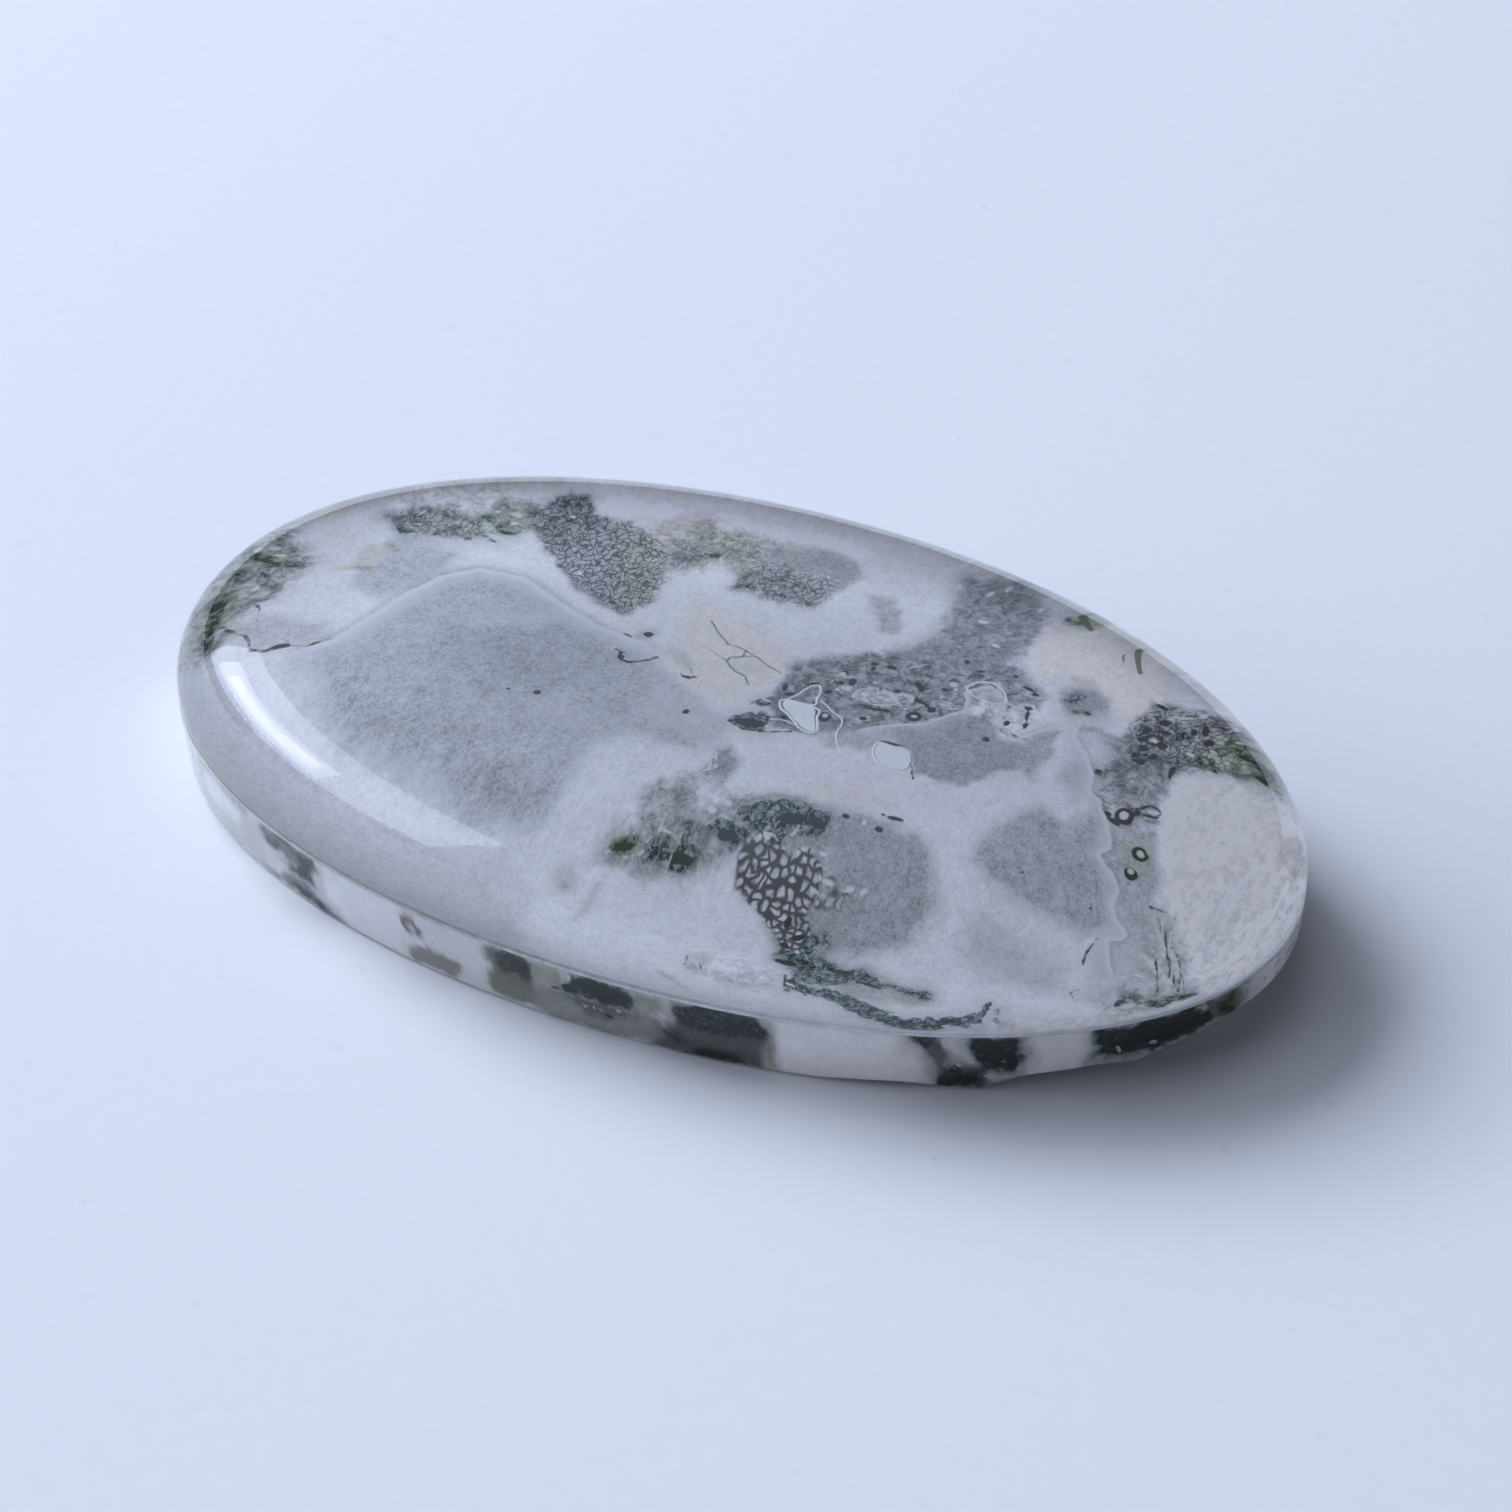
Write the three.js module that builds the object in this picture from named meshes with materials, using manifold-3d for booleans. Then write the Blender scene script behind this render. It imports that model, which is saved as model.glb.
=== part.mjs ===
// A moss agate doublet: an oval polished gemstone made of two stones, a clear domed cap of rock
// crystal cemented to a flat slab of moss agate.
//
// Millimetres, +Z up. The origin is the middle of the flat underside. +X runs along the stone's
// long axis towards its chipped end, and -Y is the side on which the darkest moss lies.

import * as THREE from 'three';
import { mergeVertices } from 'three/addons/utils/BufferGeometryUtils.js';
import Module from 'manifold-3d';

// Driving dimensions of the whole stone
const LENGTH = 42.0;
const WIDTH = 24.3;
const OVAL_POWER = 2.05; // 2 is a plain ellipse, and a little more fills its shoulders
const STEPS_ROUND = 112;

// The agate slab, from the underside up to the seam
const BASE_HEIGHT = 2.4;
const WALL_DRAFT = 0.16; // how far the wall leans in from the seam down to the lower edge
const EDGE_ROUND = 0.24; // radius of the polished lower edge
const EDGE_STEPS = 3;

// The cement in the seam
const FILM_THICKNESS = 0.12;

// The crystal cap: a short straight wall, a steep shoulder and a nearly flat crown
const CAP_WALL = 0.4;
const CAP_RISE = 4.68;
const CROWN_POWER = 7.0; // the higher, the flatter the crown
const SHOULDER_POWER = 0.57; // near 0.5 the shoulder is round, as on a bead
const SHOULDER_STEPS = 15;

// Flakes broken from the slab's lower edge, each a scoop with its middle and its three half sizes.
// The broad one lifts the whole +X end of the underside.
const CHIPS = [
  { middle: [22.0, -1.0, -0.6], halves: [7.5, 10.0, 2.0] },
  { middle: [17.2, -8.2, -0.5], halves: [4.0, 4.0, 1.35] },
  { middle: [11.8, -11.0, -0.6], halves: [4.2, 3.2, 0.95] },
  { middle: [-16.6, -9.2, -0.5], halves: [3.6, 2.8, 0.9] },
  { middle: [-20.4, -4.3, 2.45], halves: [0.7, 0.9, 0.4] },
];
const CHIP_SIDES = 28;
const CHIP_RINGS = 14;
const CHIP_RIPPLE = 0.035; // the scoops' shell-like ripple, as a share of their size

// The edge of the patch that the cement doesn't fill, anticlockwise from the left end of the
// stone's front, in the plane of the seam
const DRY_PATCH_EDGE = [
  [-15.6, -3.0], [-14.2, -5.2], [-11.8, -7.0], [-8.6, -8.2], [-4.6, -8.8], [0.0, -9.0],
  [5.0, -9.2], [10.0, -8.9], [14.2, -7.6], [16.2, -6.2], [15.9, -4.4], [15.2, -3.0],
  [14.7, -1.9], [14.1, -0.9], [13.5, 0.3], [12.8, 1.5], [12.3, 2.7], [11.6, 3.4],
  [10.6, 3.7], [9.9, 2.4], [9.2, 3.0], [8.9, 4.3], [8.0, 4.8], [7.4, 4.2],
  [7.7, 3.1], [6.8, 1.8], [5.3, 0.9], [4.3, -0.2], [3.3, 1.2], [2.5, 2.0],
  [1.2, 0.7], [-1.4, 0.6], [-3.8, 1.9], [-6.0, 2.1], [-8.0, 2.9], [-9.6, 3.6],
  [-11.4, 3.4], [-12.4, 2.4], [-13.0, 1.0], [-13.4, -0.6], [-13.9, -2.2], [-14.6, -2.8],
];
const PATCH_STEPS = 120;

const quartz = new THREE.MeshStandardMaterial({ color: 0xeef1fa, roughness: 0.03, metalness: 0 });
const cement = new THREE.MeshStandardMaterial({ color: 0xdfe3ea, roughness: 0.25, metalness: 0 });
const mossAgate = new THREE.MeshStandardMaterial({ color: 0xc9ccd2, roughness: 0.2, metalness: 0 });

const wasm = await Module();
wasm.setup();

// A point of the oval at an angle in radians, its outline pulled in by an inset and then scaled.
function ovalPoint(angle, inset = 0, scale = 1) {
  const c = Math.cos(angle);
  const s = Math.sin(angle);
  const reach = Math.pow(Math.abs(c) ** OVAL_POWER + Math.abs(s) ** OVAL_POWER, -1 / OVAL_POWER);
  const x = (LENGTH / 2 - inset) * scale * reach * c;
  const y = (WIDTH / 2 - inset) * scale * reach * s;
  return new THREE.Vector2(x, y);
}

function ovalOutline() {
  const angles = Array.from({ length: STEPS_ROUND }, (_, i) => (2 * Math.PI * i) / STEPS_ROUND);
  return angles.map((angle) => ovalPoint(angle));
}

// A closed solid of oval rings, given from the lowest to the highest. Each ring is its height,
// its inset and its scale, and a single point closes the solid at each end.
function ovalSolid(rings) {
  const positions = [0, 0, rings[0].z];
  for (const { z, inset = 0, scale = 1 } of rings) {
    for (let i = 0; i < STEPS_ROUND; i++) {
      const point = ovalPoint((2 * Math.PI * i) / STEPS_ROUND, inset, scale);
      positions.push(point.x, point.y, z);
    }
  }
  positions.push(0, 0, rings[rings.length - 1].z);

  const index = [];
  const last = positions.length / 3 - 1;
  const vertex = (ring, i) => 1 + ring * STEPS_ROUND + (i % STEPS_ROUND);
  for (let i = 0; i < STEPS_ROUND; i++) {
    index.push(0, vertex(0, i + 1), vertex(0, i));
    for (let ring = 0; ring < rings.length - 1; ring++) {
      index.push(vertex(ring, i), vertex(ring, i + 1), vertex(ring + 1, i + 1));
      index.push(vertex(ring, i), vertex(ring + 1, i + 1), vertex(ring + 1, i));
    }
    index.push(vertex(rings.length - 1, i), vertex(rings.length - 1, i + 1), last);
  }

  const geometry = new THREE.BufferGeometry();
  geometry.setAttribute('position', new THREE.Float32BufferAttribute(positions, 3));
  geometry.setIndex(index);
  return geometry;
}

function toManifold(geometry) {
  const bare = geometry.clone();
  bare.deleteAttribute('normal');
  bare.deleteAttribute('uv');
  const merged = mergeVertices(bare);
  return new wasm.Manifold(new wasm.Mesh({
    numProp: 3,
    vertProperties: new Float32Array(merged.attributes.position.array),
    triVerts: new Uint32Array(merged.index.array),
  }));
}

function toGeometry(solid) {
  const mesh = solid.getMesh();
  const geometry = new THREE.BufferGeometry();
  geometry.setAttribute('position', new THREE.BufferAttribute(mesh.vertProperties, 3));
  geometry.setIndex(new THREE.BufferAttribute(mesh.triVerts, 1));
  return geometry;
}

// One scoop: a flattened ball with gentle ripples, as stone breaks.
function chipScoop({ middle, halves }) {
  const scoop = new THREE.SphereGeometry(1, CHIP_SIDES, CHIP_RINGS);
  const place = scoop.attributes.position;
  for (let i = 0; i < place.count; i++) {
    const [x, y, z] = [place.getX(i), place.getY(i), place.getZ(i)];
    const swell = 1 + CHIP_RIPPLE * Math.sin(7 * x + 2 * y) * Math.cos(6 * y - 3 * z);
    place.setXYZ(i, x * swell, y * swell, z * swell);
  }
  scoop.scale(...halves);
  scoop.translate(...middle);
  return scoop;
}

// The slab: a rounded lower edge, a wall with a little draft and a flat top, less its chips.
function agateBase() {
  const rings = [];
  for (let i = 0; i <= EDGE_STEPS; i++) {
    const turn = (Math.PI / 2) * (i / EDGE_STEPS);
    rings.push({
      z: EDGE_ROUND * (1 - Math.cos(turn)),
      inset: WALL_DRAFT + EDGE_ROUND * (1 - Math.sin(turn)),
    });
  }
  rings.push({ z: BASE_HEIGHT });
  let slab = toManifold(ovalSolid(rings));
  for (const chip of CHIPS) {
    slab = slab.subtract(toManifold(chipScoop(chip)));
  }
  return toGeometry(slab);
}

// The cement: a thin oval sheet with one irregular opening, the dry patch.
function glueFilm() {
  const sheet = new THREE.Shape(ovalOutline());
  const edge = DRY_PATCH_EDGE.map(([x, y]) => new THREE.Vector3(x, y, 0));
  const loop = new THREE.CatmullRomCurve3(edge, true, 'centripetal').getSpacedPoints(PATCH_STEPS);
  loop.pop();
  sheet.holes.push(new THREE.Path(loop.map((point) => new THREE.Vector2(point.x, point.y))));
  const film = new THREE.ExtrudeGeometry(sheet, { depth: FILM_THICKNESS, bevelEnabled: false });
  return film.translate(0, 0, BASE_HEIGHT);
}

// The cap: its wall, and then the dome, whose rings close up where the shoulder turns fastest.
function quartzCap() {
  const foot = BASE_HEIGHT + FILM_THICKNESS;
  const rings = [{ z: foot }];
  for (let i = 0; i < SHOULDER_STEPS; i++) {
    const height = Math.sin((Math.PI / 2) * (i / SHOULDER_STEPS));
    const scale = (1 - height ** (1 / SHOULDER_POWER)) ** (1 / CROWN_POWER);
    rings.push({ z: foot + CAP_WALL + CAP_RISE * height, scale });
  }
  const solid = ovalSolid(rings);
  const place = solid.attributes.position;
  place.setZ(place.count - 1, foot + CAP_WALL + CAP_RISE);
  return solid;
}

function piece(name, geometry, material) {
  const mesh = new THREE.Mesh(geometry, material);
  mesh.name = name;
  return mesh;
}

const doublet = new THREE.Group();
doublet.add(piece('agate_base', agateBase(), mossAgate));
doublet.add(piece('glue_film', glueFilm(), cement));
doublet.add(piece('quartz_cap', quartzCap(), quartz));

export default doublet;
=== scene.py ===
"""How the moss agate doublet looks: a clear crystal dome cemented to a slab of moss agate.

Lengths are millimetres in the stone's own frame until a mesh is made, and the CAD boxes give the
outer sizes. Marks on the slab's face are placed by x and y. Marks on its wall are placed by the
distance round the wall from the middle of the front, to the right, and by the height.
"""

import math

import bmesh
import bpy
import numpy as np
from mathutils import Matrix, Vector
from mathutils.geometry import delaunay_2d_cdt


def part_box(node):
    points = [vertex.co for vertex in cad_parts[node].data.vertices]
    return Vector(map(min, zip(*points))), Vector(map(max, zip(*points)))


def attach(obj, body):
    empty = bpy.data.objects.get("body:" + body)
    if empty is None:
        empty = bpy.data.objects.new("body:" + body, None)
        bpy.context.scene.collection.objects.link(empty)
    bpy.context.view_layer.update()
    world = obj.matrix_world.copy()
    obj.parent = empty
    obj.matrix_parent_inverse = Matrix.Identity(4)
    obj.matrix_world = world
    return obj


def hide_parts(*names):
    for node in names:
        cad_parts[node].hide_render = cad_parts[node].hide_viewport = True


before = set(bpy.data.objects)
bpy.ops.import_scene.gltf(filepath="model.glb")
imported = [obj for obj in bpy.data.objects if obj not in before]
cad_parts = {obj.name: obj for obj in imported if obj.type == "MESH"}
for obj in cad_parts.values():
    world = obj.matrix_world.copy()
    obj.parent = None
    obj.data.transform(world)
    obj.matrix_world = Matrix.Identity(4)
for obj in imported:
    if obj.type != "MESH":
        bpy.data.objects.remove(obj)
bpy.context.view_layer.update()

MM = 0.001
_, base_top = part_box("agate_base")
cap_foot_corner, cap_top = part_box("quartz_cap")

# The stone's outer sizes, from the CAD boxes
HALF_LENGTH = cap_top[0] / MM
HALF_WIDTH = cap_top[1] / MM
SEAM = base_top[2] / MM
CAP_FOOT = cap_foot_corner[2] / MM
CROWN = cap_top[2] / MM

# The same rules of shape as the CAD solids
OVAL_POWER = 2.05
CAP_WALL = 0.4
CROWN_POWER = 7.0
SHOULDER_POWER = 0.57
WALL_DRAFT = 0.16
EDGE_ROUND = 0.24

# Scoops broken from the slab's lower edge: middle, then half sizes
CHIPS = [
    ((22.0, -1.0, -0.6), (7.5, 10.0, 2.0)),
    ((17.2, -8.2, -0.5), (4.0, 4.0, 1.35)),
    ((11.8, -11.0, -0.6), (4.2, 3.2, 0.95)),
    ((-16.6, -9.2, -0.5), (3.6, 2.8, 0.9)),
]

# The small nick in the seam at the front left, a scoop like those
SEAM_NICK = ((-20.4, -4.3, 2.45), (0.7, 0.9, 0.4))

# How finely the pieces are built
FACE_STEP = 0.15  # halved again at the edges of the small marks
WALL_STEP = 0.125
UNDERSIDE_STEP = 0.3
WALL_ROWS = 16
CONTACT = 0.01  # how far the crystal reaches into the agate, so that no air lies between them

# How the marks are laid
MARK_REACH = 1.2  # a mark's depth is measured this far outside its outline
WANDER = 0.1  # how far the outlines on the face wander
STRAIGHT_WANDER = 0.03  # and those of its small marks
WALL_WANDER = 0.09
CARRIED = 0.985  # the face's marks, a little nearer the middle, where they come through at the wall
FRONT_REACH = 25.5  # how far round to each side the wall's own marks go

# How strongly the stones bend light
CRYSTAL_IOR = 1.544
AGATE_IOR = 1.54
CEMENT_IOR = 1.5

WHITE = (1.0, 1.0, 1.0, 1.0)


class Wire:
    """One output of a node. Arithmetic on it adds the Math nodes that work it out."""

    def __init__(self, bench, socket):
        self.bench = bench
        self.socket = socket

    def __add__(self, other):
        return self.bench.math("ADD", self, other)

    def __sub__(self, other):
        return self.bench.math("SUBTRACT", self, other)

    def __rsub__(self, other):
        return self.bench.math("SUBTRACT", other, self)

    def __mul__(self, other):
        return self.bench.math("MULTIPLY", self, other)

    def __truediv__(self, other):
        return self.bench.math("DIVIDE", self, other)

    def __rtruediv__(self, other):
        return self.bench.math("DIVIDE", other, self)

    def __pow__(self, other):
        return self.bench.math("POWER", self, other)

    def __neg__(self):
        return self.bench.math("MULTIPLY", self, -1.0)

    def __abs__(self):
        return self.bench.math("ABSOLUTE", self)

    __radd__ = __add__
    __rmul__ = __mul__


class Bench:
    """A node tree, and the few ways in which this script adds nodes to it."""

    def __init__(self, tree):
        self.tree = tree

    def add(self, kind, settings=None, sockets=None, out=0):
        """A node: its settings first, then the values or wires of its sockets."""
        node = self.tree.nodes.new(kind)
        for name, value in (settings or {}).items():
            setattr(node, name, value)
        for key, value in (sockets or {}).items():
            self.join(node.inputs[key], value)
        return Wire(self, node.outputs[out]) if node.outputs else node

    def join(self, socket, value):
        """A wire to a socket, or a constant set on it."""
        if isinstance(value, Wire):
            self.tree.links.new(value.socket, socket)
        else:
            socket.default_value = value

    def math(self, operation, *values):
        sockets = dict(enumerate(values))
        return self.add("ShaderNodeMath", {"operation": operation}, sockets)

    def smooth(self, value, low, high):
        """0 below low, 1 above high, with an eased rise between them."""
        settings = {"interpolation_type": "SMOOTHSTEP"}
        return self.add("ShaderNodeMapRange", settings, {0: value, 1: low, 2: high})

    def blend(self, factor, first, second):
        """A colour from the first to the second, as the factor goes from 0 to 1."""
        settings = {"data_type": "RGBA", "clamp_factor": True}
        return self.add("ShaderNodeMix", settings, {0: factor, 6: first, 7: second}, out=2)

    def attribute(self, name):
        return self.add("ShaderNodeAttribute", {"attribute_name": name}, out=2)

    def place(self, stretch=(1.0, 1.0, 1.0), turn=0.0):
        """Object coordinates in millimetres, stretched and turned about the vertical."""
        where = self.add("ShaderNodeTexCoord", out=3)
        scale = tuple(s / MM for s in stretch)
        return self.add("ShaderNodeMapping", {}, {0: where, 2: (0.0, 0.0, turn), 3: scale})

    def x_and_y(self, where):
        """The first two numbers of a place."""
        x = self.add("ShaderNodeSeparateXYZ", {}, {0: where})
        return x, Wire(self, x.socket.node.outputs[1])

    def noise(self, where, scale, detail=3.0, roughness=0.55, distortion=0.0, seed=None):
        sockets = {"Vector": where, "Scale": scale, "Detail": detail,
                   "Roughness": roughness, "Distortion": distortion}
        if seed is None:
            return self.add("ShaderNodeTexNoise", {}, sockets)
        return self.add("ShaderNodeTexNoise", {"noise_dimensions": "4D"}, {**sockets, "W": seed})

    def cells(self, where, scale, flat=False, randomness=1.0, measure="F1"):
        """The distance to the middle of the nearest of many small cells, or to their edges."""
        settings = {"voronoi_dimensions": "2D" if flat else "3D", "feature": measure}
        sockets = {"Vector": where, "Scale": scale, "Randomness": randomness}
        return self.add("ShaderNodeTexVoronoi", settings, sockets)

    def bend(self, where, scale, amount):
        """A place moved about by noise, so that what is drawn at it winds."""
        swirl = self.add("ShaderNodeTexNoise", {}, {"Vector": where, "Scale": scale, "Detail": 1.0}, out=1)
        sockets = {0: swirl, 1: (amount, amount, amount), 2: where}
        return self.add("ShaderNodeVectorMath", {"operation": "MULTIPLY_ADD"}, sockets)

    def bump(self, strength, height):
        """A bump of up to a twentieth of a millimetre, for a shader's normal."""
        sockets = {"Strength": strength, "Distance": 0.05 * MM, "Height": height}
        return self.add("ShaderNodeBump", {}, sockets)

    def dress(self, sockets, volume=None):
        """The material's Principled shader, with its sockets, joined to the output."""
        ends = {"Surface": self.add("ShaderNodeBsdfPrincipled", {}, sockets)}
        if volume:
            ends["Volume"] = volume
        self.add("ShaderNodeOutputMaterial", {}, ends)


def new_material(name):
    """An empty node material and its bench."""
    material = bpy.data.materials.new(name)
    material.use_nodes = True
    material.node_tree.nodes.clear()
    return material, Bench(material.node_tree)


def add_object(name, data):
    """A mesh, lamp or lens as an object of the scene."""
    piece = bpy.data.objects.new(name, data)
    bpy.context.scene.collection.objects.link(piece)
    return piece


def shade_smoothly(mesh, sharp_angle):
    """Smooth shading, but for the edges sharper than an angle in degrees."""
    mesh.polygons.foreach_set("use_smooth", np.ones(len(mesh.polygons), bool))
    mesh.update()
    mesh.set_sharp_from_angle(angle=math.radians(sharp_angle))


# The oval

def oval_reach(x, y):
    """0 at the middle of the stone and 1 on its outline."""
    powers = np.abs(x / HALF_LENGTH) ** OVAL_POWER + np.abs(y / HALF_WIDTH) ** OVAL_POWER
    return powers ** (1 / OVAL_POWER)


def oval_point(angle, inset=0.0):
    """The point of the outline, or of a smaller oval inset from it, in a direction."""
    c, s = np.cos(angle), np.sin(angle)
    reach = (np.abs(c) ** OVAL_POWER + np.abs(s) ** OVAL_POWER) ** (-1 / OVAL_POWER)
    return (HALF_LENGTH - inset) * reach * c, (HALF_WIDTH - inset) * reach * s


def even_angles(step):
    """Angles of evenly spaced points round the outline, from the middle of the front, with the
    distance round to each."""
    angle = np.linspace(-math.pi / 2, 3 * math.pi / 2, 7201)
    x, y = oval_point(angle)
    run = np.concatenate([[0.0], np.cumsum(np.hypot(np.diff(x), np.diff(y)))])
    count = 4 * round(run[-1] / step / 4)
    distance = np.arange(count) * run[-1] / count
    return np.interp(distance, run, angle), distance, run[-1]


# Marks: soft or sharp shapes laid on a surface

def ripple(x, y, size, seed):
    """A smooth wandering value between about -1 and 1, with waves of about that size."""
    waves = 7
    rng = np.random.default_rng(seed)
    total = np.zeros_like(x)
    for _ in range(waves):
        turn = rng.uniform(0, 2 * math.pi)
        wave = 2 * math.pi / (size * rng.uniform(0.7, 1.9))
        total += np.sin(wave * (x * math.cos(turn) + y * math.sin(turn)) + rng.uniform(0, 6.3))
    return total / 3.2


class Face:
    """The points of one surface, in millimetres across and up it, on which marks are laid."""

    def __init__(self, across, up, wander, seed=1):
        self.x, self.y = across.copy(), up.copy()
        for size, share in [(1.3, 1.0), (0.55, 0.55), (0.3, 0.35)]:
            self.x += wander * share * ripple(across, up, size, seed)
            self.y += wander * share * ripple(across, up, size, seed + 1)
            seed += 2

    def depth(self, outline, reach=MARK_REACH):
        """How deep each point lies inside a closed outline, negative outside, down to -reach."""
        loop = np.array(outline)
        deep = np.full(len(self.x), -reach)
        low, high = loop.min(axis=0) - reach, loop.max(axis=0) + reach
        near = (self.x > low[0]) & (self.x < high[0]) & (self.y > low[1]) & (self.y < high[1])
        x, y = self.x[near], self.y[near]
        best = np.full(len(x), reach ** 2)
        inside = np.zeros(len(x), bool)
        for (ax, ay), (bx, by) in zip(loop, np.roll(loop, -1, axis=0)):
            ex, ey = bx - ax, by - ay
            along = np.clip(((x - ax) * ex + (y - ay) * ey) / (ex * ex + ey * ey), 0, 1)
            best = np.minimum(best, (x - ax - along * ex) ** 2 + (y - ay - along * ey) ** 2)
            crosses = (ay > y) != (by > y)
            inside ^= crosses & (x < ax + ex * (y - ay) / (ey if ey else 1e-9))
        deep[near] = np.where(inside, 1, -1) * np.sqrt(best)
        return deep

    def sharp(self, outlines):
        """The depth inside the nearest of several outlines."""
        deep = np.full(len(self.x), -MARK_REACH)
        for outline in outlines:
            deep = np.maximum(deep, self.depth(outline))
        return deep

    def soft(self, stains):
        """The cover of several stains, each its strength, the width of its edge and its outline."""
        cover = np.zeros(len(self.x))
        for strength, edge, outline in stains:
            share = np.clip(0.5 + self.depth(outline, edge + 0.1) / edge, 0, 1)
            cover = np.maximum(cover, strength * share * share * (3 - 2 * share))
        return cover


def ring(x, y, across, up, turn=0.0, points=14):
    """An oval outline: its middle, its half sizes and its turn in degrees."""
    c, s = math.cos(math.radians(turn)), math.sin(math.radians(turn))
    outline = []
    for i in range(points):
        a = 2 * math.pi * i / points
        u, v = across * math.cos(a), up * math.sin(a)
        outline.append((x + u * c - v * s, y + u * s + v * c))
    return outline


def blobs(rows):
    """Ovals, from rows of ring() values."""
    return [ring(*row) for row in rows]


def rim(start, end, inner):
    """The outline of the strip along the stone's edge between two turns in degrees, out from an
    inner share of the stone's size."""
    turns = np.radians(np.linspace(start, end, 2 + abs(end - start) // 4))
    x, y = oval_point(turns)
    return [*zip(1.02 * x, 1.02 * y), *zip(inner * x[::-1], inner * y[::-1])]


# The marks on the slab's face. A stain is its tone, warmth, green, edge width and outline, and the
# later ones lie on the earlier. The others are plain outlines, or ovals as rows of ring() values.

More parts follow.
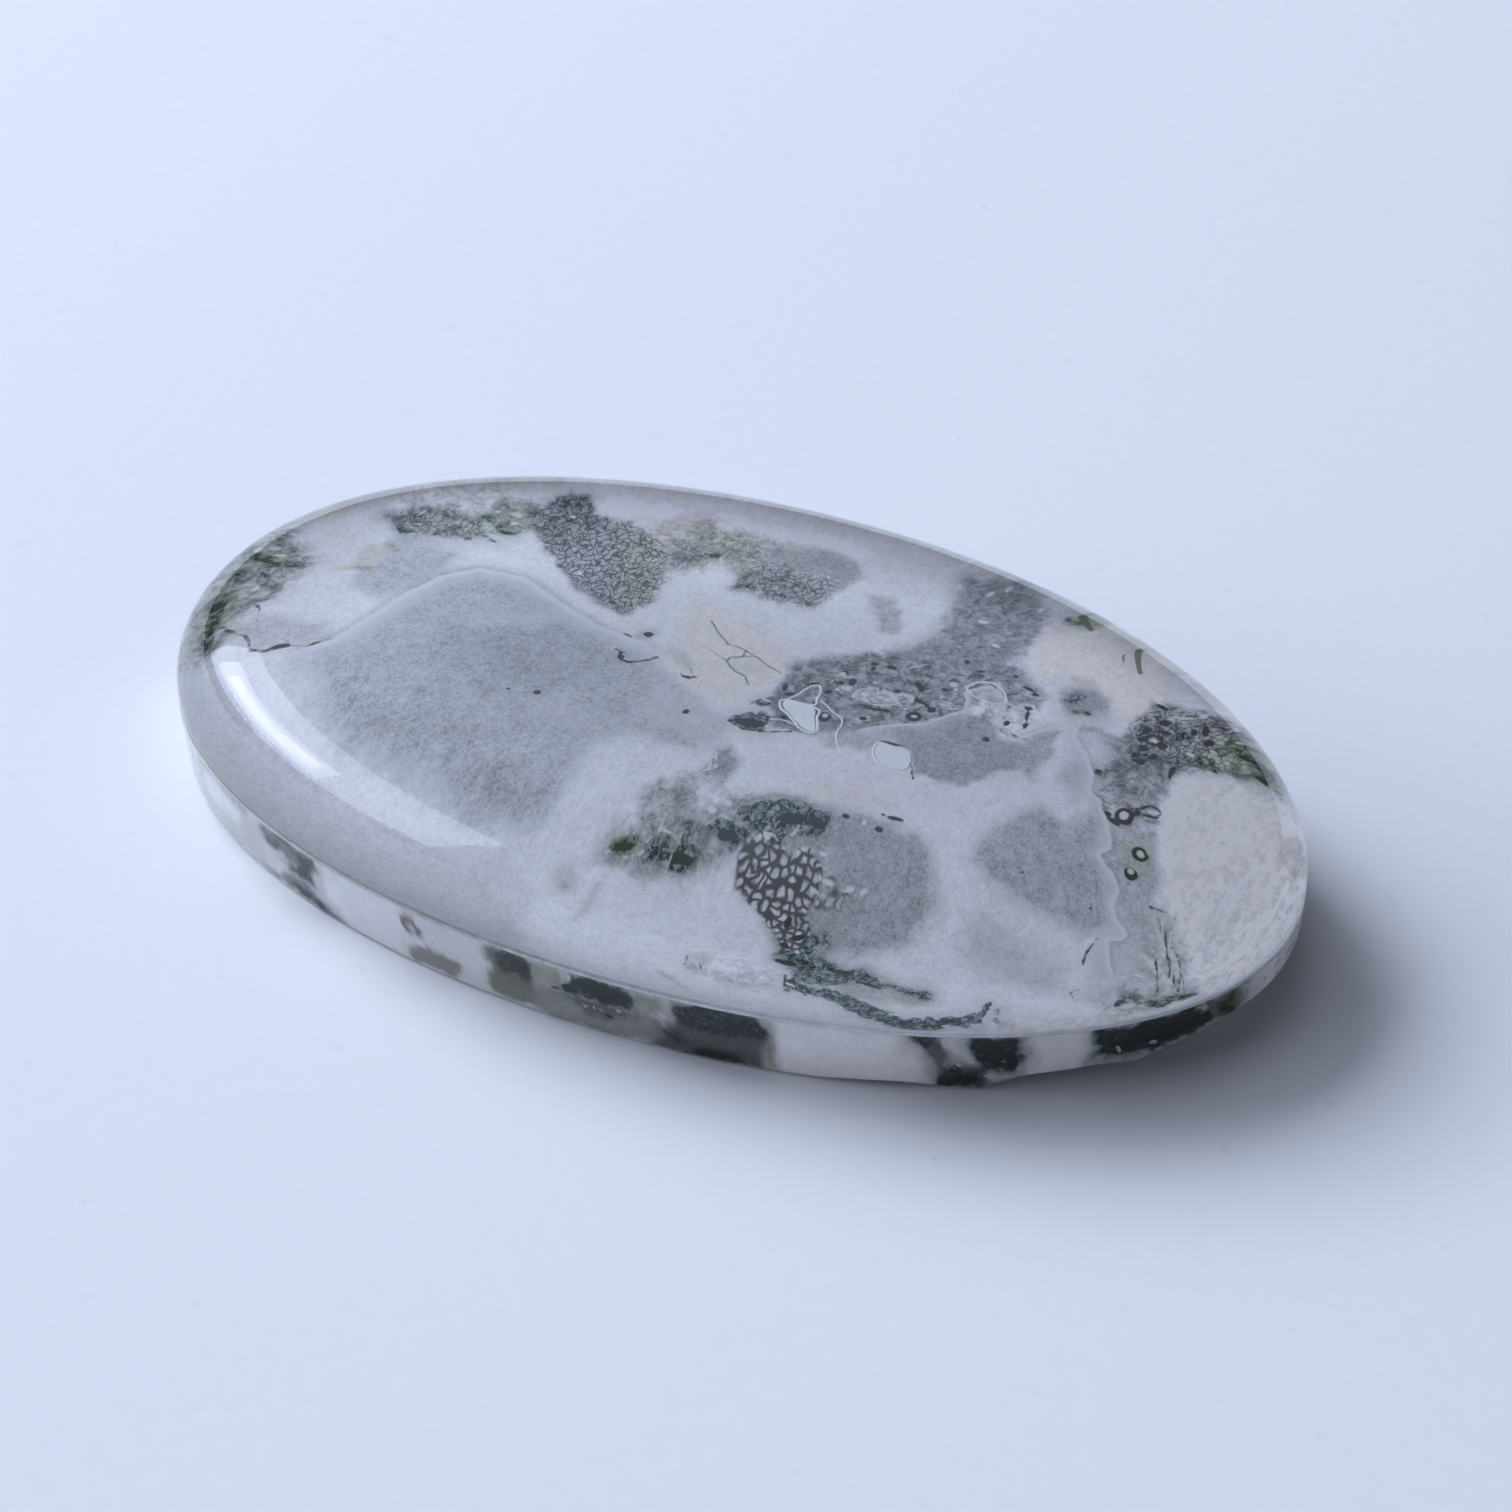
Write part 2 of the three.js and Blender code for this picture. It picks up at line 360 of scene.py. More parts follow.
FACE_STAINS = [
    # the even lavender-grey at the front left: grey stone with a painted reflection off the crystal's
    # underside over the dry patch
    (0.42, 0.0, 0.1, 1.8, [(-18.8, -2.6), (-16.3, -3.2), (-13.2, -5.4), (-9.7, -7.0), (-6.0, -7.7),
                           (-3.6, -7.7), (-2.2, -8.6), (-1.0, -12.6), (-6.6, -12.6), (-13.2, -11),
                           (-19, -8)]),
    # the grey ground inside the dry patch, on the left
    (0.33, -0.6, 0.0, 1.5, [(-12.4, 2.5), (-11.4, 3.4), (-9.7, 3.5), (-7.9, 2.9), (-6.6, 2.1), (-4.8, 1.6),
                            (-3.3, 1.4), (-2.4, 0.6), (-1.8, -0.6), (-1.6, -1.8), (-2.0, -3.0),
                            (-2.8, -4.2), (-2.8, -6.2), (-5.3, -6.6), (-7.7, -6.1), (-9.7, -5.7),
                            (-11.7, -4.9), (-13.6, -3.8), (-14.6, -2.8), (-13.4, -1.5), (-13, 0.3),
                            (-12.65, 1.6)]),
    (0.40, -0.3, 0.0, 1.0, [(-2.4, 0.5), (-0.6, -0.1), (0.8, -1.2), (1.0, -2.4), (0.2, -3.0),
                            (-2.2, -3.1)]),
    (0.28, -0.8, 0.0, 1.6, ring(-7.2, -0.4, 3.2, 2.0, 10)),
    (0.27, -0.5, 0.0, 0.9, ring(-4.6, -5.8, 1.7, 0.7, -8)),
    (0.28, -0.5, 0.0, 1.0, ring(-10.4, -4.7, 1.6, 0.45, -12)),
    (0.29, -0.5, 0.0, 0.9, ring(-7.3, -4.7, 1.3, 0.4, 12)),
    (0.38, -0.3, 0.0, 1.0, ring(-4.4, -3.0, 1.5, 0.4, -10)),
    (0.40, -0.3, 0.0, 1.0, ring(-8.8, 1.2, 1.8, 0.5, 30)),
    (0.29, -0.6, 0.0, 0.7, ring(-0.7, -2.6, 1.2, 0.25, -8)),
    # the left end
    (0.36, 0.7, 0.5, 0.9, [(-20.6, 1), (-19.6, 4.4), (-16.4, 7.9), (-13, 9.6), (-10, 10.6), (-10.8, 9.0),
                           (-13.6, 7.6), (-15.4, 6.3), (-17.0, 4.6), (-18.0, 3.0), (-18.8, 0.5),
                           (-18.6, -4), (-20.6, -4)]),
    (0.33, -0.6, 0.0, 0.9, [(-14.9, 4.1), (-12.5, 4.0), (-12.4, 2.6), (-12.9, 1.2), (-13.6, 0.3),
                            (-15.0, 0.4), (-15.2, 1.6)]),
    (0.58, 0.3, 0.0, 0.8, ring(-16.5, 2.2, 0.8, 1.5, 10)),
    (0.58, 0.0, 0.0, 1.0, ring(-16.0, 0.1, 1.0, 1.6, 35)),
    (0.42, 1.0, 0.5, 0.35, [(-15.9, 1.0), (-15.4, 1.4), (-15.0, 1.5), (-14.7, 1.5), (-14.8, 1.9),
                            (-15.1, 2.3), (-14.9, 3.0), (-14.6, 3.3), (-15.0, 3.5), (-15.3, 3.1),
                            (-15.8, 3.1), (-15.6, 2.4), (-15.7, 1.6)]),
    (0.24, 0.5, 0.6, 0.35, ring(-15.0, 1.62, 0.35, 0.22, -20)),
    (0.24, 0.2, 0.5, 0.3, ring(-14.85, 3.2, 0.2, 0.25)),
    (0.36, 0.0, 0.2, 0.6, [(-17.3, -1.9), (-16.4, -1.5), (-14.4, -1.4), (-13.9, -2.2), (-14.6, -2.7),
                           (-15.9, -2.9)]),
    (0.28, 0.3, 0.7, 0.7, [(-19.4, 3.0), (-18.3, 2.7), (-17.2, 1.9), (-16.7, 0.8), (-16.9, -0.3),
                           (-17.3, -1.2), (-16.9, -1.9), (-17.4, -2.9), (-19.2, -3.0)]),
    (0.26, -0.2, 0.5, 0.5, [(-16.1, 4.7), (-15.4, 5.8), (-14.1, 6.3), (-12.8, 6.0), (-12.0, 5.6),
                            (-12.3, 5.1), (-13.2, 4.7), (-14.5, 4.2), (-15.6, 4.2)]),
    (0.30, 0.2, 0.7, 0.5, [(-12.9, 6.2), (-12.6, 7.6), (-11.6, 7.9), (-10.9, 7.4), (-10.9, 6.2),
                           (-11.5, 5.7)]),
    (0.185, -0.3, 0.2, 0.35, [(-11.3, 7.6), (-10.6, 8.9), (-9.9, 8.9), (-9.2, 8.3), (-8.0, 8.3),
                              (-6.6, 8.0), (-5.7, 7.4), (-5.3, 5.8), (-4.8, 4.0), (-5.3, 3.0), (-6.6, 3.1),
                              (-7.9, 3.7), (-9, 4.7), (-9.9, 5.4), (-10.4, 5.9), (-11.2, 6.3)]),
    (0.205, 0.2, 0.8, 0.8, [(-7.6, 8.0), (-5.9, 8.2), (-5.2, 6.2), (-4.8, 4.2), (-5.4, 3.5), (-6.4, 4.4),
                            (-7.2, 6.0)]),
    # partly white chalcedony, partly a painted reflection: the bright white near the back at the left
    (0.95, -0.3, 0.0, 0.4, [(-9.7, 8.65), (-8.6, 9.5), (-6.5, 9.7), (-6.4, 9.1), (-7.7, 8.8), (-9.0, 8.3)]),
    (0.44, 0.9, 0.3, 0.8, [(-9.6, 10.7), (-3, 11.7), (4, 11.8), (9.2, 10.8), (8.6, 10.4), (2.0, 11.0),
                           (-4.4, 10.8), (-9, 9.9)]),
    # the back
    (0.40, 0.9, 0.3, 0.6, [(-7.2, 8.6), (-5.4, 9.9), (-2.6, 9.8), (-1.0, 9.9), (0.3, 9.6), (-1.6, 8.8),
                           (-4.2, 8.4), (-6.2, 7.6)]),
    (0.28, 0.3, 0.8, 0.6, [(-5.2, 9.2), (-3.9, 9.3), (-2.4, 8.7), (-1.9, 7.9), (-2.8, 6.9), (-3.8, 7.7),
                           (-4.4, 6.4), (-5.5, 6.1), (-6.2, 7.6)]),
    (0.24, 0.0, 0.3, 0.45, [(-2.8, 8.9), (-0.9, 9.6), (0.7, 9.5), (1.6, 8.7), (1.1, 8.0), (0.8, 7.2),
                            (0.5, 6.4), (-0.9, 6.2), (-2.6, 6.2), (-2.9, 7.2), (-2.4, 8.0)]),
    (0.23, 0.0, 0.3, 0.35, ring(-5.1, 7.0, 0.65, 0.8)),
    # partly white chalcedony, partly a painted reflection: the white strip along the back rim
    (0.90, 0.0, 0.0, 0.4, [(-5.2, 10.0), (-3.0, 10.2), (-0.6, 10.4), (1.15, 10.3), (0.7, 9.75), (-1.1, 9.8),
                           (-3.1, 9.5), (-4.8, 9.4)]),
    (0.62, 0.0, 0.0, 1.2, ring(2.6, 9.4, 1.3, 1.1)),
    (0.30, -0.2, 0.0, 0.4, [(1.9, 8.0), (2.7, 8.1), (3.5, 7.5), (4.0, 6.2), (3.3, 6.1), (2.4, 7.1)]),
    (0.18, -0.5, 0.0, 0.8, [(4.4, 10.2), (6.4, 10.4), (8.1, 9.3), (8.6, 7.8), (8.3, 6.3), (9.3, 5.6),
                            (9.8, 4.7), (9.3, 3.8), (8.1, 4.0), (7.3, 4.3), (5.7, 4.3), (4.4, 3.4),
                            (2.9, 2.5), (1.5, 2.5), (1.3, 3.4), (2.6, 4.1), (4.0, 5.1), (4.8, 6.1),
                            (5.1, 7.3), (4.7, 8.7)]),
    # the white and pinkish middle
    (0.62, 0.9, 0.0, 0.8, [(-3.2, 4.9), (-0.9, 4.6), (1.2, 3.4), (1.4, 2.3), (0.9, 1.5), (0.4, 0.3),
                           (-0.2, -0.2), (-1.5, 0.5), (-2.6, 1.1), (-2.9, 2.5), (-3.4, 3.6)]),
    (0.54, 1.6, 0.15, 0.15, [(-0.7, 2.3), (-0.4, 2.8), (0.2, 2.65), (1.0, 2.3), (0.8, 1.7), (0.2, 1.6),
                             (-0.4, 1.85)]),
    (0.42, 0.6, 0.0, 0.4, ring(-2.4, 1.6, 0.9, 0.25, -35)),
    (0.36, -0.3, 0.0, 0.4, ring(-4.1, 2.4, 0.45, 0.35)),
    # the dark bubbly area and the grey one below it
    (0.23, -0.4, 0.0, 0.3, [(5.3, 0.8), (7.0, 2.2), (8.4, 3.2), (9.0, 2.9), (9.5, 2.2), (10.2, 2.4),
                            (10.6, 3.4), (11.2, 3.3), (11.2, 1.8), (10.6, 0.8), (10.0, 0.2), (9.2, -0.8),
                            (7.6, -0.9), (7.0, 0.2), (5.9, 0.25)]),
    (0.30, -0.4, 0.0, 0.6, ring(10.8, 1.9, 0.5, 1.3, 8)),
    (0.17, -0.5, 0.0, 0.3, [(1.2, 2.9), (2.6, 3.8), (3.4, 4.9), (4.6, 4.7), (6.6, 4.7), (7.6, 4.4),
                            (8.0, 3.6), (7.4, 2.4), (6.5, 1.6), (5.5, 1.0), (5.0, 0.4), (4.64, -0.1),
                            (3.94, -0.35), (3.0, -0.6), (2.2, -0.6), (1.72, 0.4), (1.4, 1.75)]),
    (0.33, -0.2, 0.0, 0.3, [(4.0, 2.3), (4.4, 2.85), (5.0, 2.8), (5.5, 3.0), (5.9, 2.6), (5.4, 2.0),
                            (4.5, 1.95)]),
    (0.31, -0.2, 0.0, 0.25, ring(8.15, 4.4, 0.68, 0.42, -8)),
    (0.27, -0.2, 0.0, 0.25, ring(7.2, 3.4, 0.5, 0.45, -20)),
    (0.25, -0.2, 0.0, 0.3, ring(5.3, 1.1, 0.8, 0.3, 10)),
    (0.34, -0.2, 0.0, 0.5, [(4.0, -0.1), (5.0, 0.6), (6.0, 1.3), (6.4, 0.3), (5.9, -0.3), (5.2, -0.6),
                            (4.4, -0.8)]),
    # the back right
    (0.70, 1.1, 0.0, 0.7, [(8.4, 8.4), (10.1, 9.3), (12.3, 8.1), (13.3, 6.6), (13.1, 5.1), (12.2, 4.7),
                           (11.4, 6.1), (9.9, 6.2), (9.2, 5.8), (8.6, 6.7)]),
    (0.44, 1.5, 0.2, 0.35, ring(10.6, 6.3, 0.7, 0.22, -8)),
    (0.27, 0.1, 0.1, 0.45, ring(11.2, 5.2, 0.9, 0.75, -20)),
    (0.28, 0.0, 0.1, 0.4, ring(9.4, 5.0, 0.7, 0.35, -30)),
    (0.56, -0.2, 0.0, 0.5, ring(12.0, 4.5, 0.8, 0.5)),
    (0.40, 1.0, 1.0, 0.5, ring(9.3, 9.2, 0.5, 0.35, -25)),
    (0.40, 0.8, 0.8, 0.6, [(10, 9.4), (13, 8.2), (15.6, 6.6), (15.0, 6.4), (12.7, 7.8), (10.2, 9.0)]),
    # the moss at the right, and the grey beside it
    (0.21, -0.2, 0.2, 0.3, [(11.7, 4.1), (12.9, 4.1), (13.0, 6.2), (14.6, 6.4), (15.8, 6.0), (17.1, 4.7),
                            (16.5, 4.0), (15.9, 4.1), (15.1, 3.5), (14.9, 2.4), (14.9, 1.6), (15.2, 0.4),
                            (15.0, 0.0), (14.0, 0.1), (13.1, 0.9), (12.8, 2.0), (12.3, 2.8), (11.8, 3.3)]),
    (0.30, 0.4, 0.8, 0.5, [(14.9, 5.6), (16.2, 5.9), (17.4, 4.8), (16.9, 4.2), (15.6, 4.4), (14.8, 4.0)]),
    (0.34, -0.3, 0.3, 0.5, [(14.1, -0.2), (15.3, 0.5), (15.7, -1.0), (15.0, -1.8), (14.2, -1.2)]),
    (0.28, -0.5, 0.0, 0.7, [(10.8, -1.6), (11.9, -0.4), (12.9, -0.6), (13.4, 0.6), (14.0, -0.3),
                            (14.2, -1.2), (14.9, -2.0), (15.1, -2.8), (14.4, -3.4), (12.6, -3.5),
                            (10.5, -3.3)]),
    (0.33, -0.1, 0.15, 0.5, [(12.8, 1.7), (13.6, 0.6), (14.2, -0.5), (14.2, -1.2), (14.9, -2.0),
                             (15.4, -2.8), (15.4, -3.6), (16.6, -4.0), (17.0, -2.8), (16.2, -1.6),
                             (15.8, -1.4), (15.7, -0.4), (15.2, 0.8), (14.3, 0.9)]),
    (0.42, 0.0, 0.2, 0.7, [(15.0, -2.8), (17.2, -3.0), (17.6, -4.6), (16.8, -5.8), (15.4, -5.8),
                           (14.9, -4.2)]),
    (0.50, -0.4, 0.0, 0.7, ring(12.4, 2.0, 0.7, 1.9, 10)),
    (0.38, -0.4, 0.0, 0.4, ring(12.3, 1.5, 0.3, 0.9, 14)),
    # the front
    (0.56, 0.8, 0.0, 0.6, ring(6.2, -2.7, 1.5, 0.35, 8)),
    (0.23, -0.1, 0.0, 0.8, [(6.0, -3.5), (7.7, -3.0), (9.3, -3.4), (10.2, -4.6), (9.6, -6.0), (8.2, -6.9),
                            (6.9, -6.6), (6.4, -5.6)]),
    (0.40, -0.3, 0.0, 1.2, ring(12.9, -5.1, 1.9, 0.9, -10)),
    # the dark grey ground of the moss at the front
    (0.27, 0.1, 0.4, 0.5, [(-0.8, -6.7), (1.1, -6.75), (2.7, -6.3), (3.7, -5.6), (4.2, -6.4), (5.6, -6.9),
                           (6.0, -7.8), (7.6, -8.6), (8.6, -8.1), (7.8, -7.2), (7.6, -6.5), (6.9, -5.6),
                           (6.3, -4.6), (6.1, -3.7), (4.9, -3.4), (3.0, -4.0), (1.3, -4.6), (-0.1, -5.1),
                           (0.2, -5.8), (-0.5, -6.2)]),
    (0.20, -0.2, 0.0, 0.5, [(1.0, -2.4), (1.5, -2.2), (2.1, -2.9), (2.2, -3.9), (1.6, -3.8), (1.0, -3.8),
                            (0.9, -3.0)]),
    (0.36, -0.3, 0.0, 0.6, [(0.9, -3.8), (2.2, -3.8), (2.4, -4.5), (1.6, -4.2), (0.8, -4.4), (0.0, -5.4),
                            (-0.3, -5.0)]),
    (0.25, 0.3, 0.2, 0.5, [(0.2, -4.6), (0.9, -4.3), (1.5, -4.9), (1.2, -5.6), (0.9, -6.0), (0.1, -5.9),
                           (-0.1, -5.3)]),
    (0.20, 0.0, 0.1, 0.3, ring(1.05, -5.0, 0.3, 0.3)),
    (0.68, -0.2, 0.0, 0.5, ring(1.9, -4.65, 0.5, 0.3, 20)),
    (0.36, 0.2, 0.2, 0.5, [(2.4, -4.4), (3.4, -4.1), (4.2, -3.6), (5.4, -3.3), (6.2, -3.5), (6.0, -4.2),
                           (4.0, -4.8), (2.6, -5.1)]),
    (0.34, 0.2, 0.5, 0.25, [(-0.6, -6.5), (0.5, -6.4), (1.0, -6.5), (0.5, -6.75), (-0.5, -6.85)]),
    (0.42, 0.2, 0.2, 0.6, ring(-1.3, -7.4, 0.5, 0.4)),
    (0.24, 0.0, 0.1, 0.2, ring(-1.2, -7.57, 0.12, 0.1)),
    (0.22, 0.0, 0.1, 0.2, ring(9.45, -4.9, 0.15, 0.28, -10)),
    (0.42, 0.1, 0.2, 0.5, ring(-0.3, -8.0, 0.25, 0.9, -5)),
    (0.44, 0.3, 0.3, 0.5, ring(3.9, -9.1, 0.5, 0.6, 5)),
    (0.44, 0.4, 0.2, 0.5, ring(5.6, -9.3, 1.0, 0.4, 5)),
    (0.34, 0.2, 0.1, 0.25, ring(3.5, -10.3, 0.7, 0.13, -28)),
    (0.36, 0.2, 0.4, 0.35, [(7.6, -7.3), (8.8, -7.0), (10.4, -7.2), (11.3, -7.3), (11.2, -8.0),
                            (10.0, -8.4), (8.4, -8.5)]),
    # the frosted right end
    (1.0, 0.7, 0.0, 0.5, [(15.1, 3.2), (16.7, 4.0), (18.3, 4.0), (20.6, 2.1), (20.8, -0.3), (20.0, -3.4),
                          (18.5, -3.5), (17.2, -2.6), (16.0, -1.4), (15.6, -0.4), (15.1, 1.0)]),
    (0.84, 0.5, 0.3, 0.8, ring(17.8, -1.0, 0.5, 1.7, 8)),
    (0.46, 1.6, 0.3, 0.4, ring(18.6, 2.6, 0.6, 0.8, 35)),
    (0.40, 0.4, 0.5, 0.5, [(15.6, -1.7), (16.3, -1.5), (17.3, -2.4), (18.1, -3.6), (18.8, -4.2),
                           (17.8, -4.8), (16.9, -3.9), (16.2, -2.8)]),
    (0.56, 0.4, 0.6, 0.6, ring(17.0, -6.0, 0.7, 0.5)),
    (0.66, 0.8, 0.1, 0.7, [(13.8, -8.0), (16.8, -6.6), (18.9, -4.9), (18.2, -7.0), (14.8, -9.4)]),
    (0.50, 0.2, 0.2, 0.4, ring(15.2, -5.5, 0.35, 0.35)),
    # the rim: tan and olive at the back, whitish where the frosted end is ground
    (0.40, 1.0, 0.5, 0.6, rim(88, 134, 0.95)),
    (0.42, 1.2, 0.2, 0.5, rim(134, 158, 0.945)),
    (0.27, 0.8, 0.9, 0.7, rim(158, 192, 0.93)),
    (0.44, 0.9, 0.4, 0.6, rim(192, 262, 0.955)),
    (0.42, 0.7, 0.4, 0.5, rim(42, 86, 0.96)),
    (0.95, 0.2, 0.0, 0.35, rim(-28, 22, 0.955)),
]

FACE_MOSS = [
    # the left end
    [(-18.9, 2.0), (-18.4, 1.5), (-17.8, 1.2), (-16.9, 1.25), (-17.0, 0.95), (-17.8, 0.9), (-18.6, 1.2),
     (-19.0, 1.5)],
    [(-18.0, 0.6), (-17.4, 0.3), (-16.9, -0.3), (-17.5, 0.0), (-18.1, 0.3)],
    [(-18.7, -0.4), (-18.2, -0.5), (-18.0, -1.0), (-17.8, -1.6), (-17.4, -2.3), (-17.5, -2.8),
     (-18.0, -2.2), (-18.4, -1.4), (-18.7, -0.9)],
    ring(-18.6, 0.3, 0.22, 0.35, 20), ring(-17.9, 2.0, 0.45, 0.1, -25), ring(-17.2, -0.9, 0.35, 0.09, 35),
    ring(-18.9, 2.6, 0.3, 0.15, 40),
    [(-15.9, 4.7), (-15.3, 4.35), (-14.8, 4.1), (-14.5, 4.3), (-15.0, 4.5), (-15.6, 4.9)],
    ring(-13.9, 4.5, 0.3, 0.12, 30), ring(-12.8, 4.85, 0.4, 0.13, 0), ring(-12.0, 5.2, 0.35, 0.1, -10),
    ring(-11.55, 5.85, 0.35, 0.16, 10), ring(-11.95, 6.2, 0.12, 0.3), ring(-12.7, 6.3, 0.3, 0.18, -30),
    ring(-14.9, 5.25, 0.25, 0.14, 20), ring(-11.4, 7.2, 0.3, 0.12, 15),
    # the coarse dark part of the worm-like moss
    [(-10.9, 8.4), (-10.3, 8.7), (-9.9, 8.9), (-9.9, 8.3), (-10.4, 8.0), (-11.0, 7.9)],
    ring(-9.9, 7.5, 0.25, 0.22, 30), ring(-10.2, 6.9, 0.5, 0.13, -15), ring(-9.4, 7.8, 0.4, 0.12, -25),
    ring(-10.1, 6.3, 0.4, 0.1, -35),
    # the back
    ring(-4.2, 7.75, 0.35, 0.18, 35), ring(-4.7, 7.4, 0.25, 0.12, 20), ring(-1.5, 7.3, 0.4, 0.13, 20),
    ring(-0.4, 7.35, 0.4, 0.11, -5), ring(-2.2, 6.5, 0.3, 0.14, 10), ring(-0.9, 6.55, 0.4, 0.09, 15),
    ring(0.1, 6.4, 0.3, 0.08, 15), ring(-2.5, 6.9, 0.1, 0.3, 10), ring(10.85, 5.55, 0.3, 0.28),
    ring(10.75, 5.2, 0.25, 0.09), ring(11.35, 4.75, 0.35, 0.12, 10), ring(8.9, 9.2, 0.2, 0.14, 40),
    # the moss at the right
    [(13.3, 5.0), (13.6, 5.1), (14.1, 4.9), (13.8, 4.6), (13.5, 4.4), (13.35, 4.6)],
    [(13.5, 3.2), (13.6, 3.7), (14.0, 3.8), (14.2, 3.4), (13.9, 2.95)], ring(14.4, 4.9, 0.16, 0.3, 10),
    ring(14.7, 3.7, 0.1, 0.4, 15), ring(16.0, 5.05, 0.4, 0.16, -25), ring(16.6, 4.6, 0.4, 0.2, -40),
    ring(15.9, 5.5, 0.3, 0.12, -30), ring(17.1, 4.3, 0.3, 0.1, -20), ring(15.25, 4.05, 0.14, 0.14),
    ring(15.85, 4.05, 0.17, 0.15), [(12.8, 2.0), (13.2, 2.3), (13.1, 2.0), (12.9, 1.8)],
    # the dark lens under the hourglass bubble
    [(0.72, -0.95), (0.85, -0.5), (1.2, -0.2), (1.7, -0.05), (1.95, -0.15), (2.1, -0.4), (2.0, -0.65),
     (2.2, -0.95), (1.4, -1.15), (0.95, -1.1)],
    [(1.95, 0.3), (2.3, 0.3), (2.7, 0.05), (2.5, -0.15), (2.1, 0.0)],
    [(1.15, 0.4), (1.4, 0.75), (1.8, 0.85), (1.8, 0.5), (1.5, 0.2), (1.2, 0.25)],
    # the green-black cluster at the front
    [(-0.5, -6.3), (-0.1, -6.15), (0.5, -6.15), (0.5, -6.3), (0.1, -6.45), (-0.3, -6.42)],
    [(0.75, -6.15), (1.1, -5.85), (1.45, -5.95), (1.5, -6.35), (1.0, -6.45)],
    [(1.6, -5.8), (2.1, -5.7), (2.65, -5.95), (2.35, -6.2), (2.2, -6.5), (1.75, -6.4), (1.65, -6.1)],
    [(1.2, -5.65), (1.6, -5.4), (2.3, -5.3), (2.4, -5.5), (1.7, -5.7)],
    [(2.4, -5.25), (2.8, -5.0), (3.15, -5.2), (3.6, -5.1), (3.75, -5.45), (3.3, -5.7), (2.95, -5.5),
     (2.5, -5.55)],
    [(2.9, -4.75), (2.95, -4.4), (3.6, -4.1), (4.9, -3.6), (5.9, -3.6), (6.1, -4.1), (5.7, -4.55),
     (5.0, -4.7), (4.9, -5.25), (4.1, -5.0), (3.6, -4.95)],
    [(5.8, -6.5), (6.5, -6.35), (7.2, -6.8), (7.0, -7.1), (6.3, -7.8), (5.85, -7.1)],
    [(6.1, -7.2), (7.0, -7.05), (8.0, -7.35), (8.8, -7.3), (9.4, -7.4), (9.4, -7.75), (8.6, -7.9),
     (8.2, -8.3), (7.7, -8.45), (6.8, -7.95), (6.25, -7.85)],
    ring(7.35, -6.65, 0.3, 0.09, -40),
    [(9.4, -7.45), (10.4, -7.35), (11.1, -7.36), (11.3, -7.7), (10.6, -7.66), (9.4, -7.7)],
    [(6.65, -8.35), (7.1, -8.35), (7.76, -8.55), (8.8, -8.42), (9.9, -8.7), (10.8, -9.0), (11.5, -8.6),
     (11.6, -9.7), (10.6, -9.65), (9.5, -9.4), (8.4, -9.0), (7.4, -9.1), (6.95, -9.1)],
    [(10.4, -9.1), (11.3, -9.2), (11.5, -8.7), (12.0, -8.3), (12.5, -8.0), (12.6, -7.7), (12.9, -7.6),
     (12.8, -7.1), (13.0, -7.0), (13.2, -7.8), (13.1, -8.6), (12.5, -8.9), (12.0, -9.4), (11.3, -9.7),
     (10.9, -9.5)],
    [(13.3, -7.1), (13.45, -7.3), (13.6, -7.7), (13.95, -7.95), (13.7, -7.95), (13.4, -7.6)],
    # the right rim
    [(16.4, -5.0), (16.7, -4.5), (17.1, -4.7), (17.4, -5.3), (17.1, -5.1), (16.8, -4.9), (16.8, -5.6),
     (16.5, -5.6)],
    [(17.6, -5.2), (18.0, -5.0), (18.3, -4.5), (18.9, -4.2), (18.7, -3.9), (18.2, -4.1), (17.8, -4.5),
     (17.4, -4.8)],
]

